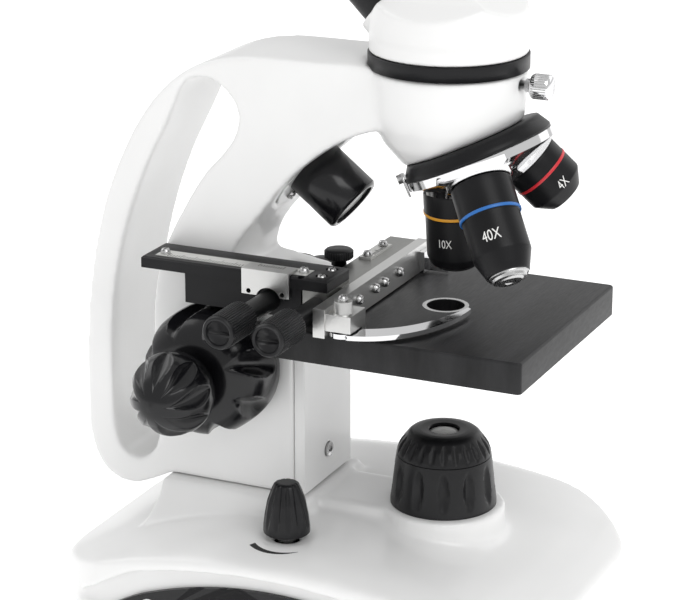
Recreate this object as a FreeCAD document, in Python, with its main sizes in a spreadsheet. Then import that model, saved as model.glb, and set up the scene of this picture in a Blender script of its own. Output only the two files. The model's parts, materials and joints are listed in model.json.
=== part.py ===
"""Student microscope: base, arm, focusing stage with a slide holder, revolving nosepiece and inclined head.

Millimetres, +Z up. The origin is the centre of the footprint on the table. +Y points to the carrying handle,
and the slide holder's two knobs point to -X. The optical axis is the vertical line at x = 0, y = axis_y.
Every piece is drawn in the optical frame (y = 0 on the optical axis) and moved by its Placement.
"""
import FreeCAD, Part
import Sketcher
import math
import os
import re

from FreeCAD import Placement, Rotation, Vector

os.makedirs("parts", exist_ok=True)
doc = FreeCAD.newDocument("microscope")

# ----------------------------------------------------------------------------------------------------------
# Driving sizes
# ----------------------------------------------------------------------------------------------------------

SIZES = {
    # the frame
    "axis_y": -37.0,
    "running_gap": 0.05,
    "seat_gap": 0.1,
    # base
    "base_width": 128.0,
    "base_length": 185.6,
    "base_front_corner": 36.0,
    "base_rear_corner": 24.0,
    "base_front_rim": 22.0,
    "base_rear_rim": 17.0,
    "base_crown": 39.5,
    "base_wall": 3.0,
    "foot_radius": 8.0,
    "foot_tall": 3.0,
    "foot_inset_x": 40.0,
    "foot_inset_y": 70.0,
    "plate_thick": 2.0,
    "recess_depth": 7.0,
    "recess_crown": 34.0,
    "recess_bend": 145.0,
    "panel_crown": 25.0,
    "panel_bend": 135.0,
    "panel_thick": 1.6,
    "neck_top": 44.3,
    "neck_width": 46.0,
    "neck_flare": 16.0,
    "neck_front_y": 42.0,
    "neck_rear_y": 98.0,
    "boss_radius": 21.5,
    "boss_top": 43.8,
    "ridge_width": 30.0,
    "screw_radius": 1.5,
    "screw_head_radius": 2.8,
    "screw_head_tall": 1.6,
    "screw_long": 9.0,
    "screw_boss_radius": 4.0,
    # battery bay
    "bay_width": 62.0,
    "bay_length": 56.0,
    "bay_y": 8.0,
    "cell_radius": 7.1,
    "box_wall": 1.5,
    "door_thick": 1.5,
    "door_travel": 10.0,
    # base electrics
    "jack_y": 85.0,
    "jack_height": 11.0,
    "jack_radius": 3.6,
    "jack_bore": 1.6,
    "jack_long": 12.0,
    "switch_y": 0.0,
    "switch_height": 12.0,
    "switch_long": 14.0,
    "switch_tall": 8.0,
    "knob_x": -40.5,
    "knob_y": 40.6,
    "knob_seat": 40.4,
    "knob_radius": 8.0,
    "knob_tall": 18.0,
    "dimmer_shaft_radius": 3.0,
    # illuminator
    "dome_foot_radius": 18.4,
    "dome_shoulder_radius": 16.4,
    "dome_seam": 61.8,
    "dome_top": 70.6,
    "dome_flat_radius": 11.2,
    "dome_wall": 2.5,
    "lamp_window": 5.2,
    "led_size": 10.0,
    # column, arm and handle
    "column_width": 38.0,
    "column_front": 48.2,
    "column_shoulder": 118.0,
    "guide_channel_width": 22.0,
    "guide_channel_depth": 15.0,
    "focus_y": 73.2,
    "focus_height": 91.8,
    "focus_bore": 7.0,
    "focus_shaft_radius": 5.0,
    "fine_shaft_radius": 2.5,
    "coarse_radius": 22.5,
    "coarse_reach": 47.0,
    "coarse_gap": 1.0,
    "coarse_scallops": 8,
    "fine_radius": 14.4,
    "fine_reach": 75.0,
    "fine_gap": 0.8,
    "lamp_radius": 10.6,
    "lamp_long": 27.0,
    "lamp_lean": 38.0,
    "lamp_face_y": 34.0,
    "lamp_face_z": 146.0,
    "cover_half_long": 17.0,
    "cover_half_wide": 13.5,
    "cover_place": 7.4,
    "bowl_radius": 26.2,
    "bowl_crease_radius": 25.5,
    "bowl_crease": 183.6,
    "bowl_top": 197.8,
    "light_bore": 8.5,
    "head_stem_radius": 18.5,
    "head_stem_foot": 188.0,
    # stage and carriage
    "carriage_thick": 3.9,
    "carriage_foot": 45.2,
    "carriage_top": 118.0,
    "dovetail_width": 14.0,
    "dovetail_depth": 6.0,
    "rack_width": 6.0,
    "rack_module": 1.0,
    "small_module": 0.5,
    "post_small": 2.0,
    "stage_top": 115.0,
    "stage_thick": 10.6,
    "stage_width": 90.0,
    "stage_front": 44.4,
    "stage_hole": 6.3,
    "disc_radius": 24.0,
    "disc_thick": 2.4,
    "disc_pivot_y": 17.0,
    "disc_hole": 5.5,
    # slide holder: fixed part
    "holder_foot_thick": 3.6,
    "holder_foot_long": 45.0,
    "block_front": 36.6,
    "bracket_y": 49.0,
    "bracket_long": 17.5,
    "trim_screw_radius": 0.8,
    "trim_head_radius": 1.7,
    "trim_screw_long": 2.6,
    "block_rear": 80.0,
    "rail_x": -28.5,
    "rail_width": 17.2,
    "rail_front": 26.8,
    "rail_rear": 96.4,
    "rail_top": 15.4,
    "rail_rise": 11.2,
    "clamp_y": 39.8,
    "clamp_radius": 4.9,
    "y_knob_y": 48.0,
    "cross_knob_height": 6.2,
    "knob_grip_radius": 5.6,
    "knob_grip_long": 17.5,
    "knob_face": 74.6,
    "knob_sleeve_radius": 3.6,
    "x_knob_y": 30.4,
    # slide holder: moving part
    "guide_front": 26.0,
    "guide_rear": 35.8,
    "guide_near": -26.0,
    "guide_far": 34.6,
    "guide_top": 10.3,
    "bar_thick": 4.2,
    "bar_tall": 9.8,
    "bar_foot": 0.7,
    "bar_near": -50.5,
    "bar_far": 36.0,
    "block_long": 12.0,
    "block_wide": 9.0,
    "post_radius": 3.1,
    "finger_thick": 1.6,
    # nosepiece
    "apex_height": 192.8,
    "turret_tilt": 24.5,
    "turret_turn": 15.0,
    "mount_top": 21.0,
    "mount_rim": 26.0,
    "mount_top_radius": 23.2,
    "turret_radius": 25.7,
    "turret_band": 29.0,
    "stud_radius": 3.0,
    "thread_radius": 9.8,
    "objective_radius": 10.2,
    "objective_top": 37.6,
    "objective_neck": 33.9,
    # head and eyepiece
    "ring_radius": 26.7,
    "ring_tall": 5.1,
    "cap_radius": 25.9,
    "cap_step": 208.3,
    "cap_shoulder": 217.0,
    "tube_tilt": 45.0,
    "tube_cross": 200.0,
    "tube_radius": 12.5,
    "tube_bore": 11.65,
    "tube_end": 96.0,
    "tube_start": 18.0,
    "collar_radius": 14.6,
    "collar_end": 27.0,
    "prism_half": 9.0,
    "eyepiece_radius": 15.0,
    "eyepiece_end": 132.0,
    "lock_height": 193.8,
    "lock_radius": 4.1,
}

sheet = doc.addObject("Spreadsheet::Sheet", "Sizes")
for row, (alias, value) in enumerate(SIZES.items(), 1):
    sheet.set("A%d" % row, alias)
    sheet.set("B%d" % row, str(value))
    sheet.setAlias("B%d" % row, alias)
doc.recompute()


def size(alias):
    """A driving size, read from the sheet."""
    return float(sheet.get(alias))


def bound(text):
    """Turn 'dome_top - dome_wall' into an expression on the sheet's cells."""
    return re.sub(r"\b(?!cos\b|sin\b)[a-z][a-z_]*[a-z]", lambda word: "Sizes." + word.group(0), text)


# ----------------------------------------------------------------------------------------------------------
# Ways of making a piece
# ----------------------------------------------------------------------------------------------------------

KEPT = []


def keep(piece, label):
    """Name a finished sub-part: its Label is its file's name."""
    piece.Label = label
    KEPT.append(piece)
    return piece


def place(piece, x="0", y="0", z="0", turn=None):
    """Put a piece in the optical frame, moved to the origin's frame by axis_y."""
    if turn is not None:
        piece.Placement = Placement(Vector(0, 0, 0), turn)
    piece.setExpression("Placement.Base.x", bound(x))
    piece.setExpression("Placement.Base.y", bound("axis_y + " + y))
    piece.setExpression("Placement.Base.z", bound(z))
    return piece


def locate(piece, x="0", y="0", z="0", turn=None):
    """Put an ingredient of a boolean in the optical frame."""
    if turn is not None:
        piece.Placement = Placement(Vector(0, 0, 0), turn)
    piece.setExpression("Placement.Base.x", bound(x))
    piece.setExpression("Placement.Base.y", bound(y))
    piece.setExpression("Placement.Base.z", bound(z))
    return piece


def drawn(body, role, points):
    """A closed sketch of straight lines on an origin plane, each corner bound to the sheet."""
    sketch = body.newObject("Sketcher::SketchObject", body.Name + "_outline")
    support = [feature for feature in body.Origin.OriginFeatures if feature.Role == role]
    sketch.AttachmentSupport = [(support[0], "")]
    sketch.MapMode = "FlatFace"
    count = len(points)
    start = []
    for number in range(count):
        angle = 2 * math.pi * number / count
        start.append(Vector(10 + 5 * math.cos(angle), 5 * math.sin(angle), 0))
    for number in range(count):
        sketch.addGeometry(Part.LineSegment(start[number], start[(number + 1) % count]), False)
    for number in range(count):
        sketch.addConstraint(Sketcher.Constraint("Coincident", number, 2, (number + 1) % count, 1))
    for number, (across, up) in enumerate(points):
        for kind, text, axis in (("DistanceX", across, -2), ("DistanceY", up, -1)):
            if text == "0":
                sketch.addConstraint(Sketcher.Constraint("PointOnObject", number, 1, axis))
            else:
                which = sketch.addConstraint(Sketcher.Constraint(kind, -1, 1, number, 1, 7.0))
                sketch.setExpression("Constraints[%d]" % which, bound(text))
    return sketch


def turned(name, points):
    """A body of revolution about its own Z: points are (radius, height)."""
    body = doc.addObject("PartDesign::Body", name)
    profile = drawn(body, "XZ_Plane", points)
    solid = body.newObject("PartDesign::Revolution", name + "_turned")
    solid.Profile = profile
    solid.ReferenceAxis = (profile, ["V_Axis"])
    solid.Angle = 360
    return body


def extruded(name, points, length, role="XY_Plane", middle=False):
    """A prism: points in the plane, padded along its normal."""
    body = doc.addObject("PartDesign::Body", name)
    profile = drawn(body, role, points)
    solid = body.newObject("PartDesign::Pad", name + "_padded")
    solid.Profile = profile
    solid.Midplane = middle
    solid.setExpression("Length", bound(length))
    return body


def block(name, width, depth, tall):
    """A box with its corner at its own origin."""
    piece = doc.addObject("Part::Box", name)
    piece.setExpression("Length", bound(width))
    piece.setExpression("Width", bound(depth))
    piece.setExpression("Height", bound(tall))
    return piece


def rod(name, radius, long):
    """A cylinder along its own Z."""
    piece = doc.addObject("Part::Cylinder", name)
    piece.setExpression("Radius", bound(radius))
    piece.setExpression("Height", bound(long))
    return piece


def cut(name, base, tools):
    """Base less every tool."""
    for number, tool in enumerate(tools):
        piece = doc.addObject("Part::Cut", "%s_%d" % (name, number))
        piece.Base = base
        piece.Tool = tool
        base = piece
    return base


def joined(name, pieces):
    """One solid of several."""
    piece = doc.addObject("Part::MultiFuse", name)
    piece.Shapes = pieces
    return piece


def group(name, pieces):
    """Separate solids in one node."""
    piece = doc.addObject("Part::Compound", name)
    piece.Links = pieces
    return piece


def shaped(name, shape):
    """A free-form piece whose shape Part's functions give."""
    piece = doc.addObject("Part::Feature", name)
    at = shape.Placement.Base
    piece.Shape = shape
    place(piece, "(%.6f)" % at.x, "(%.6f)" % at.y, "(%.6f)" % at.z, shape.Placement.Rotation)
    return keep(piece, name)


ALONG_X = Rotation(Vector(0, 1, 0), 90)
ALONG_MINUS_X = Rotation(Vector(0, 1, 0), -90)
ALONG_Y = Rotation(Vector(1, 0, 0), -90)
ALONG_MINUS_Y = Rotation(Vector(1, 0, 0), 90)
UPSIDE_DOWN = Rotation(Vector(1, 0, 0), 180)


def plan_wire(half_width, front, rear, front_corner, rear_corner, height):
    """The base's rounded outline seen from above, from y = front to y = rear."""
    lean = math.sqrt(0.5)
    corners = [
        (half_width, rear, rear_corner, 1, 1),
        (-half_width, rear, rear_corner, -1, 1),
        (-half_width, front, front_corner, -1, -1),
        (half_width, front, front_corner, 1, -1),
    ]
    arcs = []
    for x, y, radius, side, end in corners:
        centre = Vector(x - side * radius, y - end * radius, height)
        on_side = centre + Vector(side * radius, 0, 0)
        on_end = centre + Vector(0, end * radius, 0)
        middle = centre + Vector(side * radius * lean, end * radius * lean, 0)
        if side == end:
            arcs.append((on_side, middle, on_end))
        else:
            arcs.append((on_end, middle, on_side))
    edges = []
    for number, (first, middle, last) in enumerate(arcs):
        edges.append(Part.Arc(first, middle, last).toShape())
        edges.append(Part.LineSegment(last, arcs[(number + 1) % 4][0]).toShape())
    return Part.Wire(edges)


def side_face(points, x):
    """A face in a plane of constant x, from (y, z) corners; a tuple of three is an arc's middle."""
    edges = []
    last = None
    first = None
    through = None
    for point in points:
        here = Vector(x, point[0], point[1])
        if len(point) == 3:
            through = here
            continue
        if last is not None:
            if through is None:
                edges.append(Part.LineSegment(last, here).toShape())
            else:
                edges.append(Part.Arc(last, through, here).toShape())
        if first is None:
            first = here
        through = None
        last = here
    if through is None:
        edges.append(Part.LineSegment(last, first).toShape())
    else:
        edges.append(Part.Arc(last, through, first).toShape())
    return Part.Face(Part.Wire(edges))


# ----------------------------------------------------------------------------------------------------------
# Base
# ----------------------------------------------------------------------------------------------------------

half_base = size("base_width") / 2
base_middle = -size("axis_y")
base_front = base_middle - size("base_length") / 2
base_rear = base_middle + size("base_length") / 2
floor_gap = size("foot_tall")
wall = size("base_wall")


def base_block(inset, drop):
    """The base's outer form, or with an inset and a drop the form of its hollow."""
    plan = plan_wire(
        half_base - inset,
        base_front + inset,
        base_rear - inset,
        size("base_front_corner") - inset,
        size("base_rear_corner") - inset,
        floor_gap,
    )
    slab = Part.Face(plan).extrude(Vector(0, 0, size("base_crown")))
    arch = side_face(
        [
            (base_front - 1, floor_gap - 1),
            (base_front - 1, size("base_front_rim") - drop),
            (base_middle + 4, size("base_crown") - drop, "arc"),
            (base_rear + 1, size("base_rear_rim") - drop),
            (base_rear + 1, floor_gap - 1),
        ],
        -half_base - 1,
    )
    return slab.common(arch.extrude(Vector(2 * half_base + 2, 0, 0)))


def neck_block(inset, drop):
    """The column's foot: a block that flares into the base."""
    half = size("neck_width") / 2 - inset
    flare = size("neck_flare")
    front = size("neck_front_y") + inset
    rear = size("neck_rear_y") - inset
    low = size("base_crown") - flare
    top = size("neck_top") - drop
    wires = []
    for grow, height in ((flare, low), (flare / 4, (low + top) / 2 + flare / 5), (0, top)):
        corners = [
            Vector(-half - grow, front - grow / 2, height),
            Vector(half + grow, front - grow / 2, height),
            Vector(half + grow, rear + grow / 4, height),
            Vector(-half - grow, rear + grow / 4, height),
        ]
        wires.append(Part.makePolygon(corners + corners[:1]))
    return Part.makeLoft(wires, True, True)


def arch_cut(crown, bend, near, far, low):
    """A slab with an arched top, from x = near to x = far, for the side recesses and panels."""
    reach = math.sqrt(2 * bend * (crown - low))
    face = side_face(
        [
            (base_middle - reach, low),
            (base_middle, crown, "arc"),
            (base_middle + reach, low),
        ],
        near,
    )
    return face.extrude(Vector(far - near, 0, 0))


ridge_half = size("ridge_width") / 2
outer = base_block(0, 0)
outer = outer.fuse(neck_block(0, 0))
boss_foot = size("base_front_rim") - 6
boss = Part.makeCylinder(size("boss_radius"), size("boss_top") - boss_foot, Vector(0, 0, boss_foot))
ridge = Part.makeBox(
    size("ridge_width"),
    size("neck_front_y") + 4,
    size("boss_top") - boss_foot - 0.4,
    Vector(-ridge_half, 0, boss_foot),
)
outer = outer.fuse([boss, ridge])
hollow = base_block(wall + size("recess_depth"), wall)
hollow = hollow.fuse(neck_block(wall, wall))
boss_hollow = size("boss_radius") - wall
hollow = hollow.fuse(
    Part.makeCylinder(boss_hollow, size("boss_top") - wall - boss_foot, Vector(0, 0, boss_foot))
)
shell = outer.cut(hollow)
recess_face = half_base - size("recess_depth")
for side in (-1, 1):
    shell = shell.cut(
        arch_cut(
            size("recess_crown"),
            size("recess_bend"),
            side * recess_face,
            side * (half_base + 5),
            floor_gap + 4,
        )
    )
mounting = [
    (side * size("foot_inset_x"), base_middle + end * (size("foot_inset_y") - 12))
    for side in (-1, 1)
    for end in (-1, 1)
]
for x, y in mounting:
    post = Part.makeCylinder(size("screw_boss_radius"), size("base_crown"), Vector(x, y, floor_gap + 2))
    shell = shell.fuse(post.common(base_block(wall, wall - 0.5)))
plate_opening = Part.Face(
    plan_wire(
        half_base - wall - size("recess_depth") + 0.6,
        base_front + wall + size("recess_depth") - 0.6,
        base_rear - wall - size("recess_depth") + 0.6,
        size("base_front_corner") - wall,
        size("base_rear_corner") - wall,
        floor_gap,
    )
).extrude(Vector(0, 0, size("plate_thick")))
shell = shell.cut(plate_opening)
screw_bore = size("screw_radius") + size("running_gap")
for x, y in mounting:
    shell = shell.cut(Part.makeCylinder(screw_bore, size("screw_long") + 1, Vector(x, y, floor_gap)))
lamp_wire = Part.makeCylinder(4, size("boss_top"), Vector(0, 0, boss_foot))
shell = shell.cut(lamp_wire)
dimmer_bore = size("dimmer_shaft_radius") + 1
shell = shell.cut(
    Part.makeCylinder(dimmer_bore, 40, Vector(size("knob_x"), size("knob_y"), floor_gap + 8))
)
knob_flat = Part.makeCylinder(
    size("knob_radius") + 1.2, 20, Vector(size("knob_x"), size("knob_y"), size("knob_seat") - 2)
)
shell = shell.cut(knob_flat)
jack_x = -half_base + size("recess_depth") - size("panel_thick") - 1
jack_hole = size("jack_radius") + size("seat_gap")
shell = shell.cut(
    Part.makeCylinder(jack_hole, 20, Vector(jack_x, size("jack_y"), size("jack_height")), Vector(1, 0, 0))
)
switch_gap = size("switch_long") + 1
switch_slot = Part.makeBox(
    20,
    switch_gap,
    size("switch_tall") + 1,
    Vector(
        jack_x, size("switch_y") - switch_gap / 2, size("switch_height") - size("switch_tall") / 2 - 0.5
    ),
)
shell = shell.cut(switch_slot)
column_bolts = [(0, size("neck_front_y") + 14), (0, size("neck_rear_y") - 10)]
for x, y in column_bolts:
    shell = shell.cut(Part.makeCylinder(screw_bore, 12, Vector(x, y, size("neck_top") - 8)))
shaped("base_shell", shell.removeSplitter())

plate_inset = wall + size("recess_depth") - 0.5
bottom = Part.Face(
    plan_wire(
        half_base - plate_inset,
        base_front + plate_inset,
        base_rear - plate_inset,
        size("base_front_corner") - wall,
        size("base_rear_corner") - wall,
        floor_gap,
    )
).extrude(Vector(0, 0, size("plate_thick")))
for x, y in mounting:
    bottom = bottom.cut(Part.makeCylinder(screw_bore, 10, Vector(x, y, floor_gap)))
bay = Part.makeBox(
    size("bay_width") - 4,
    size("bay_length") - 4,
    10,
    Vector(-size("bay_width") / 2 + 2, size("bay_y") - size("bay_length") / 2 + 2, floor_gap - 5),
)
door_bed = Part.makeBox(
    size("bay_width") + 4,
    size("bay_length") + 4 + size("door_travel"),
    size("door_thick") + size("seat_gap"),
    Vector(
        -size("bay_width") / 2 - 2,
        size("bay_y") - size("bay_length") / 2 - 2 - size("door_travel"),
        floor_gap,
    ),
)
bottom = bottom.cut(bay)
bottom = bottom.cut(door_bed)
shaped("bottom_plate", bottom)

door = place(
    block("door_panel", "bay_width + 3.6", "bay_length + 3.4", "door_thick"),
    "-bay_width / 2 - 1.8",
    "bay_y - bay_length / 2 - 1.8",
    "foot_tall",
)
keep(door, "battery_door")

feet = []
for side in ("-", ""):
    for end in ("-", "+"):
        foot = turned(
            "foot",
            [
                ("0", "0"),
                ("foot_radius - 0.8", "0"),
                ("foot_radius", "0.8"),
                ("foot_radius", "foot_tall"),
                ("0", "foot_tall"),
            ],
        )
        locate(foot, side + "foot_inset_x", "-axis_y %s foot_inset_y" % end, "0")
        feet.append(foot)
keep(place(group("foot_set", feet)), "rubber_feet")


def slotted(name, x, y, z, turn=None, long="screw_long", radius="screw_radius", head="screw_head_radius"):
    """A pan-head screw with a driver slot: its shank runs along its own Z from the head's seat."""
    shank = turned(
        name,
        [
            ("0", "-screw_head_tall"),
            (head + " * 0.75", "-screw_head_tall"),
            (head, "-screw_head_tall * 0.4"),
            (head, "0"),
            (radius, "0"),
            (radius, long),
            ("0", long),
        ],
    )
    slot = block(name + "_slot", head + " * 2.4", "screw_head_tall * 0.3", "screw_head_tall * 0.5")
    locate(slot, "-%s * 1.2" % head, "-screw_head_tall * 0.15", "-screw_head_tall")
    return locate(cut(name + "_driven", shank, [slot]), x, y, z, turn)


bolt_x = "foot_inset_x"
bolt_y = "foot_inset_y - 12"
frame_screws = []
for side in ("-", ""):
    for end in ("-", "+"):
        frame_screws.append(
            slotted("plate_screw", side + bolt_x, "-axis_y %s (%s)" % (end, bolt_y), "foot_tall")
        )
for number, where in enumerate(("neck_front_y + 14", "neck_rear_y - 10")):
    frame_screws.append(slotted("column_bolt", "0", where, "neck_top - base_wall", long="screw_long + 2"))

for name, side in (("side_panel_left", -1), ("side_panel_right", 1)):
    panel = arch_cut(
        size("panel_crown"),
        size("panel_bend"),
        side * (recess_face + 0.02),
        side * (recess_face + size("panel_thick")),
        floor_gap + 4.2,
    )
    if side < 0:
        panel = panel.cut(
            Part.makeCylinder(
                size("jack_radius") + 0.05, 9,
                Vector(-half_base, size("jack_y"), size("jack_height")), Vector(1, 0, 0)
            )
        )
        panel = panel.cut(
            Part.makeBox(
                9,
                size("switch_long") + 1.2,
                size("switch_tall") + 0.6,
                Vector(
                    -half_base,
                    size("switch_y") - size("switch_long") / 2 - 0.6,
                    size("switch_height") - size("switch_tall") / 2 - 0.3,
                ),
            )
        )
    shaped(name, panel)

jack = turned(
    "jack_body",
    [
        ("jack_bore", "0"),
        ("jack_radius - 0.6", "0"),
        ("jack_radius", "0.6"),
        ("jack_radius", "jack_long"),
        ("0", "jack_long"),
        ("0", "jack_long - 2"),
        ("jack_bore", "jack_long - 2"),
    ],
)
place(jack, "-base_width / 2 + recess_depth - panel_thick - 0.8", "jack_y", "jack_height", ALONG_X)
keep(jack, "power_jack")

rocker = extruded(
    "rocker",
    [
        ("-switch_tall / 2", "0"),
        ("-switch_tall / 2", "-3"),
        ("0", "-2.2"),
        ("switch_tall / 2", "-3"),
        ("switch_tall / 2", "0"),
        ("1.5", "3"),
        ("-1.5", "3"),
    ],
    "switch_long",
    middle=True,
)
rocker_turn = Rotation(Vector(0, 0, -1), Vector(-1, 0, 0), Vector(0, -1, 0), "XYZ")
place(rocker, "-base_width / 2 + recess_depth + 0.4", "switch_y", "switch_height", rocker_turn)
keep(rocker, "lamp_switch")

tray = block("tray", "bay_width", "bay_length", "cell_radius * 2 + box_wall")
locate(tray, "-bay_width / 2", "bay_y - bay_length / 2", "foot_tall + plate_thick + 0.1")
tray_hollow = block(
    "tray_hollow", "bay_width - 2 * box_wall", "bay_length - 2 * box_wall", "cell_radius * 2"
)
locate(
    tray_hollow,
    "-bay_width / 2 + box_wall",
    "bay_y - bay_length / 2 + box_wall",
    "foot_tall + plate_thick",
)
keep(place(cut("tray_cut", tray, [tray_hollow])), "battery_box")

pot_can = rod("pot_can", "dimmer_shaft_radius * 2.6", "9")
locate(pot_can, "knob_x", "knob_y", "knob_seat - 17")
pot_shaft = rod("pot_shaft", "dimmer_shaft_radius", "17")
locate(pot_shaft, "knob_x", "knob_y", "knob_seat - 9")
keep(place(joined("pot_joined", [pot_can, pot_shaft])), "dimmer_pot")

grip = turned(
    "grip",
    [
        ("dimmer_shaft_radius + running_gap", "0"),
        ("knob_radius", "0"),
        ("knob_radius - 0.3", "knob_tall * 0.3"),
        ("knob_radius - 1.6", "knob_tall * 0.65"),
        ("knob_radius - 3", "knob_tall * 0.86"),
        ("knob_radius - 4.6", "knob_tall"),
        ("0", "knob_tall"),
        ("0", "knob_tall * 0.5"),
        ("dimmer_shaft_radius + running_gap", "knob_tall * 0.5"),
    ],
)
keep(place(grip, "knob_x", "knob_y", "knob_seat + 0.3"), "brightness_knob")


def led_module(name, x, y, z, turn=None):
    """A lamp module: its board with the die's round package on it."""
    board = block(name + "_board", "led_size", "led_size", "1.6")
    locate(board, "-led_size / 2", "-led_size / 2", "0")
    package = turned(
        name + "_package",
        [("0", "1.5"), ("2.6", "1.5"), ("2.6", "2.6"), ("1.6", "3.8"), ("0", "4.2")],
    )
    return locate(joined(name + "_joined", [board, package]), x, y, z, turn)


dome = turned(
    "dome",
    [
        ("dome_foot_radius - dome_wall", "boss_top + 0.1"),
        ("dome_foot_radius", "boss_top + 0.1"),
        ("dome_foot_radius - 0.3", "boss_top + 3"),
        ("dome_foot_radius - 0.9", "boss_top + 8.6"),
        ("dome_foot_radius - 1.5", "boss_top + 12.6"),
        ("dome_shoulder_radius", "dome_seam - 0.3"),
        ("dome_shoulder_radius - 3.4", "dome_seam - 0.3"),
        ("dome_foot_radius - dome_wall - 1", "boss_top + 6"),
    ],
)
keep(place(dome), "illuminator_body")
dome_ring = turned(
    "dome_ring",
    [
        ("lamp_window + 3", "dome_seam"),
        ("dome_shoulder_radius", "dome_seam"),
        ("dome_shoulder_radius - 0.9", "dome_top - 6.4"),
        ("dome_shoulder_radius - 2.6", "dome_top - 3.4"),
        ("dome_flat_radius + 1.4", "dome_top - 1.2"),
        ("dome_flat_radius", "dome_top - 0.5"),
        ("dome_flat_radius - 3", "dome_top"),
        ("lamp_window", "dome_top - 0.4"),
        ("lamp_window", "dome_top - 2.4"),
        ("lamp_window + 3", "dome_top - 2.4"),
    ],
)
keep(place(dome_ring), "illuminator_ring")
window = turned(
    "window",
    [
        ("0", "dome_top - 4.4"),
        ("lamp_window + 2.8", "dome_top - 4.4"),
        ("lamp_window + 2.8", "dome_top - 2.5"),
        ("lamp_window - 0.1", "dome_top - 2.5"),
        ("lamp_window - 0.1", "dome_top - 1.4"),
        ("lamp_window * 0.6", "dome_top - 0.7"),
        ("0", "dome_top - 0.4"),
    ],
)
keep(place(window), "illuminator_lens")

# ----------------------------------------------------------------------------------------------------------
# Arm: column, carrying handle and head bowl in one casting
# ----------------------------------------------------------------------------------------------------------

half_column = size("column_width") / 2
column_front = size("column_front")
shoulder = size("column_shoulder")
column_foot = size("neck_top") + 0.2
bowl_top = size("bowl_top")


def yz_curve(points, x):
    """A smooth open curve through (y, z) points in a plane of constant x."""
    curve = Part.BSplineCurve()
    curve.interpolate([Vector(x, y, z) for y, z in points])
    return curve.toShape()


underside = [
    (72.0, shoulder + 4),
    (69.6, shoulder + 14),
    (63.6, 140.2),
    (54.0, 152.6),
    (41.0, 165.6),
    (27.0, 174.4),
    (12.0, 179.0),
]
back_and_handle = [
    (30.0, 199.4),
    (56.0, 198.9),
    (74.0, 197.0),
    (87.0, 192.0),
    (100.0, 181.0),
    (112.4, 161.8),
    (120.6, 142.0),
    (126.0, 120.0),
    (129.2, 95.0),
    (129.9, 70.0),
    (129.0, 53.0),
    (124.0, 42.5),
    (115.0, 37.9),
    (104.0, 41.0),
    (96.5, column_foot),
]
x_near = -half_column
edges = [
    yz_curve(underside, x_near),
    Part.LineSegment(Vector(x_near, 12, 179), Vector(x_near, 12, 199.4)).toShape(),
    Part.LineSegment(Vector(x_near, 12, 199.4), Vector(x_near, 30, 199.4)).toShape(),
    yz_curve(back_and_handle, x_near),
    Part.LineSegment(
        Vector(x_near, 96.5, column_foot), Vector(x_near, column_front, column_foot)).toShape(
    ),
    Part.LineSegment(
        Vector(x_near, column_front, column_foot), Vector(x_near, column_front, shoulder)).toShape(
    ),
    Part.LineSegment(Vector(x_near, column_front, shoulder), Vector(x_near, 72, shoulder + 4)).toShape(),
]
side_view = Part.Face(Part.Wire(edges))
casting = side_view.extrude(Vector(2 * half_column, 0, 0))
grip_slot = [
    (84.0, 189.6),
    (74.0, 187.0),
    (68.4, 178.0),
    (70.6, 169.0),
    (79.4, 158.6),
    (89.4, 143.6),
    (97.0, 129.0),
    (101.4, 114.0),
    (102.8, 96.0),
    (103.0, 78.0),
    (101.8, 62.0),
    (103.4, 52.6),
    (109.6, 48.4),
    (116.4, 51.2),
    (119.2, 60.0),
    (119.8, 78.0),
    (119.0, 98.0),
    (116.0, 120.0),
    (110.6, 139.6),
    (103.0, 158.4),
    (93.4, 177.6),
]
slot_curve = Part.BSplineCurve()
slot_curve.interpolate([Vector(x_near - 1, y, z) for y, z in grip_slot], True)
slot_face = Part.Face(Part.Wire([slot_curve.toShape()]))
casting = casting.cut(slot_face.extrude(Vector(2 * half_column + 2, 0, 0)))

bowl_profile = [
    (0, 150),
    (9, 158),
    (15.6, 165.6),
    (21.6, 172.6),
    (24.6, 179.4),
    (size("bowl_crease_radius"), size("bowl_crease")),
    (size("bowl_radius"), bowl_top),
    (0, bowl_top),
]
bowl_wire = Part.makePolygon(
    [Vector(radius, 0, height) for radius, height in bowl_profile + bowl_profile[:1]]
)
bowl = Part.Face(bowl_wire).revolve(Vector(0, 0, 0), Vector(0, 0, 1), 360)
casting = casting.fuse(bowl)
above_bowl = Part.makeCylinder(size("ring_radius") + 0.5, 20, Vector(0, 0, bowl_top))
casting = casting.cut(above_bowl)

tilt = math.radians(size("turret_tilt"))
apex = Vector(0, 0, size("apex_height"))
turret_axis = Vector(0, -math.sin(tilt), -math.cos(tilt))
below_mount = Part.makeCylinder(60, 80, apex + turret_axis * size("mount_top"), turret_axis)
casting = casting.cut(below_mount)
light_way = Part.makeCylinder(size("light_bore"), 80, Vector(0, 0, 140))
stem_seat = Part.makeCylinder(
    size("head_stem_radius") + size("running_gap"), 20, Vector(0, 0, size("head_stem_foot") - 0.3)
)
casting = casting.cut(light_way.fuse(stem_seat))
lock_bore = Part.makeCylinder(
    size("screw_radius") + 0.4, 20, Vector(0, -size("head_stem_radius") + 2, size("lock_height")),
    Vector(0, -1, 0)
)
casting = casting.cut(lock_bore)

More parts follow.
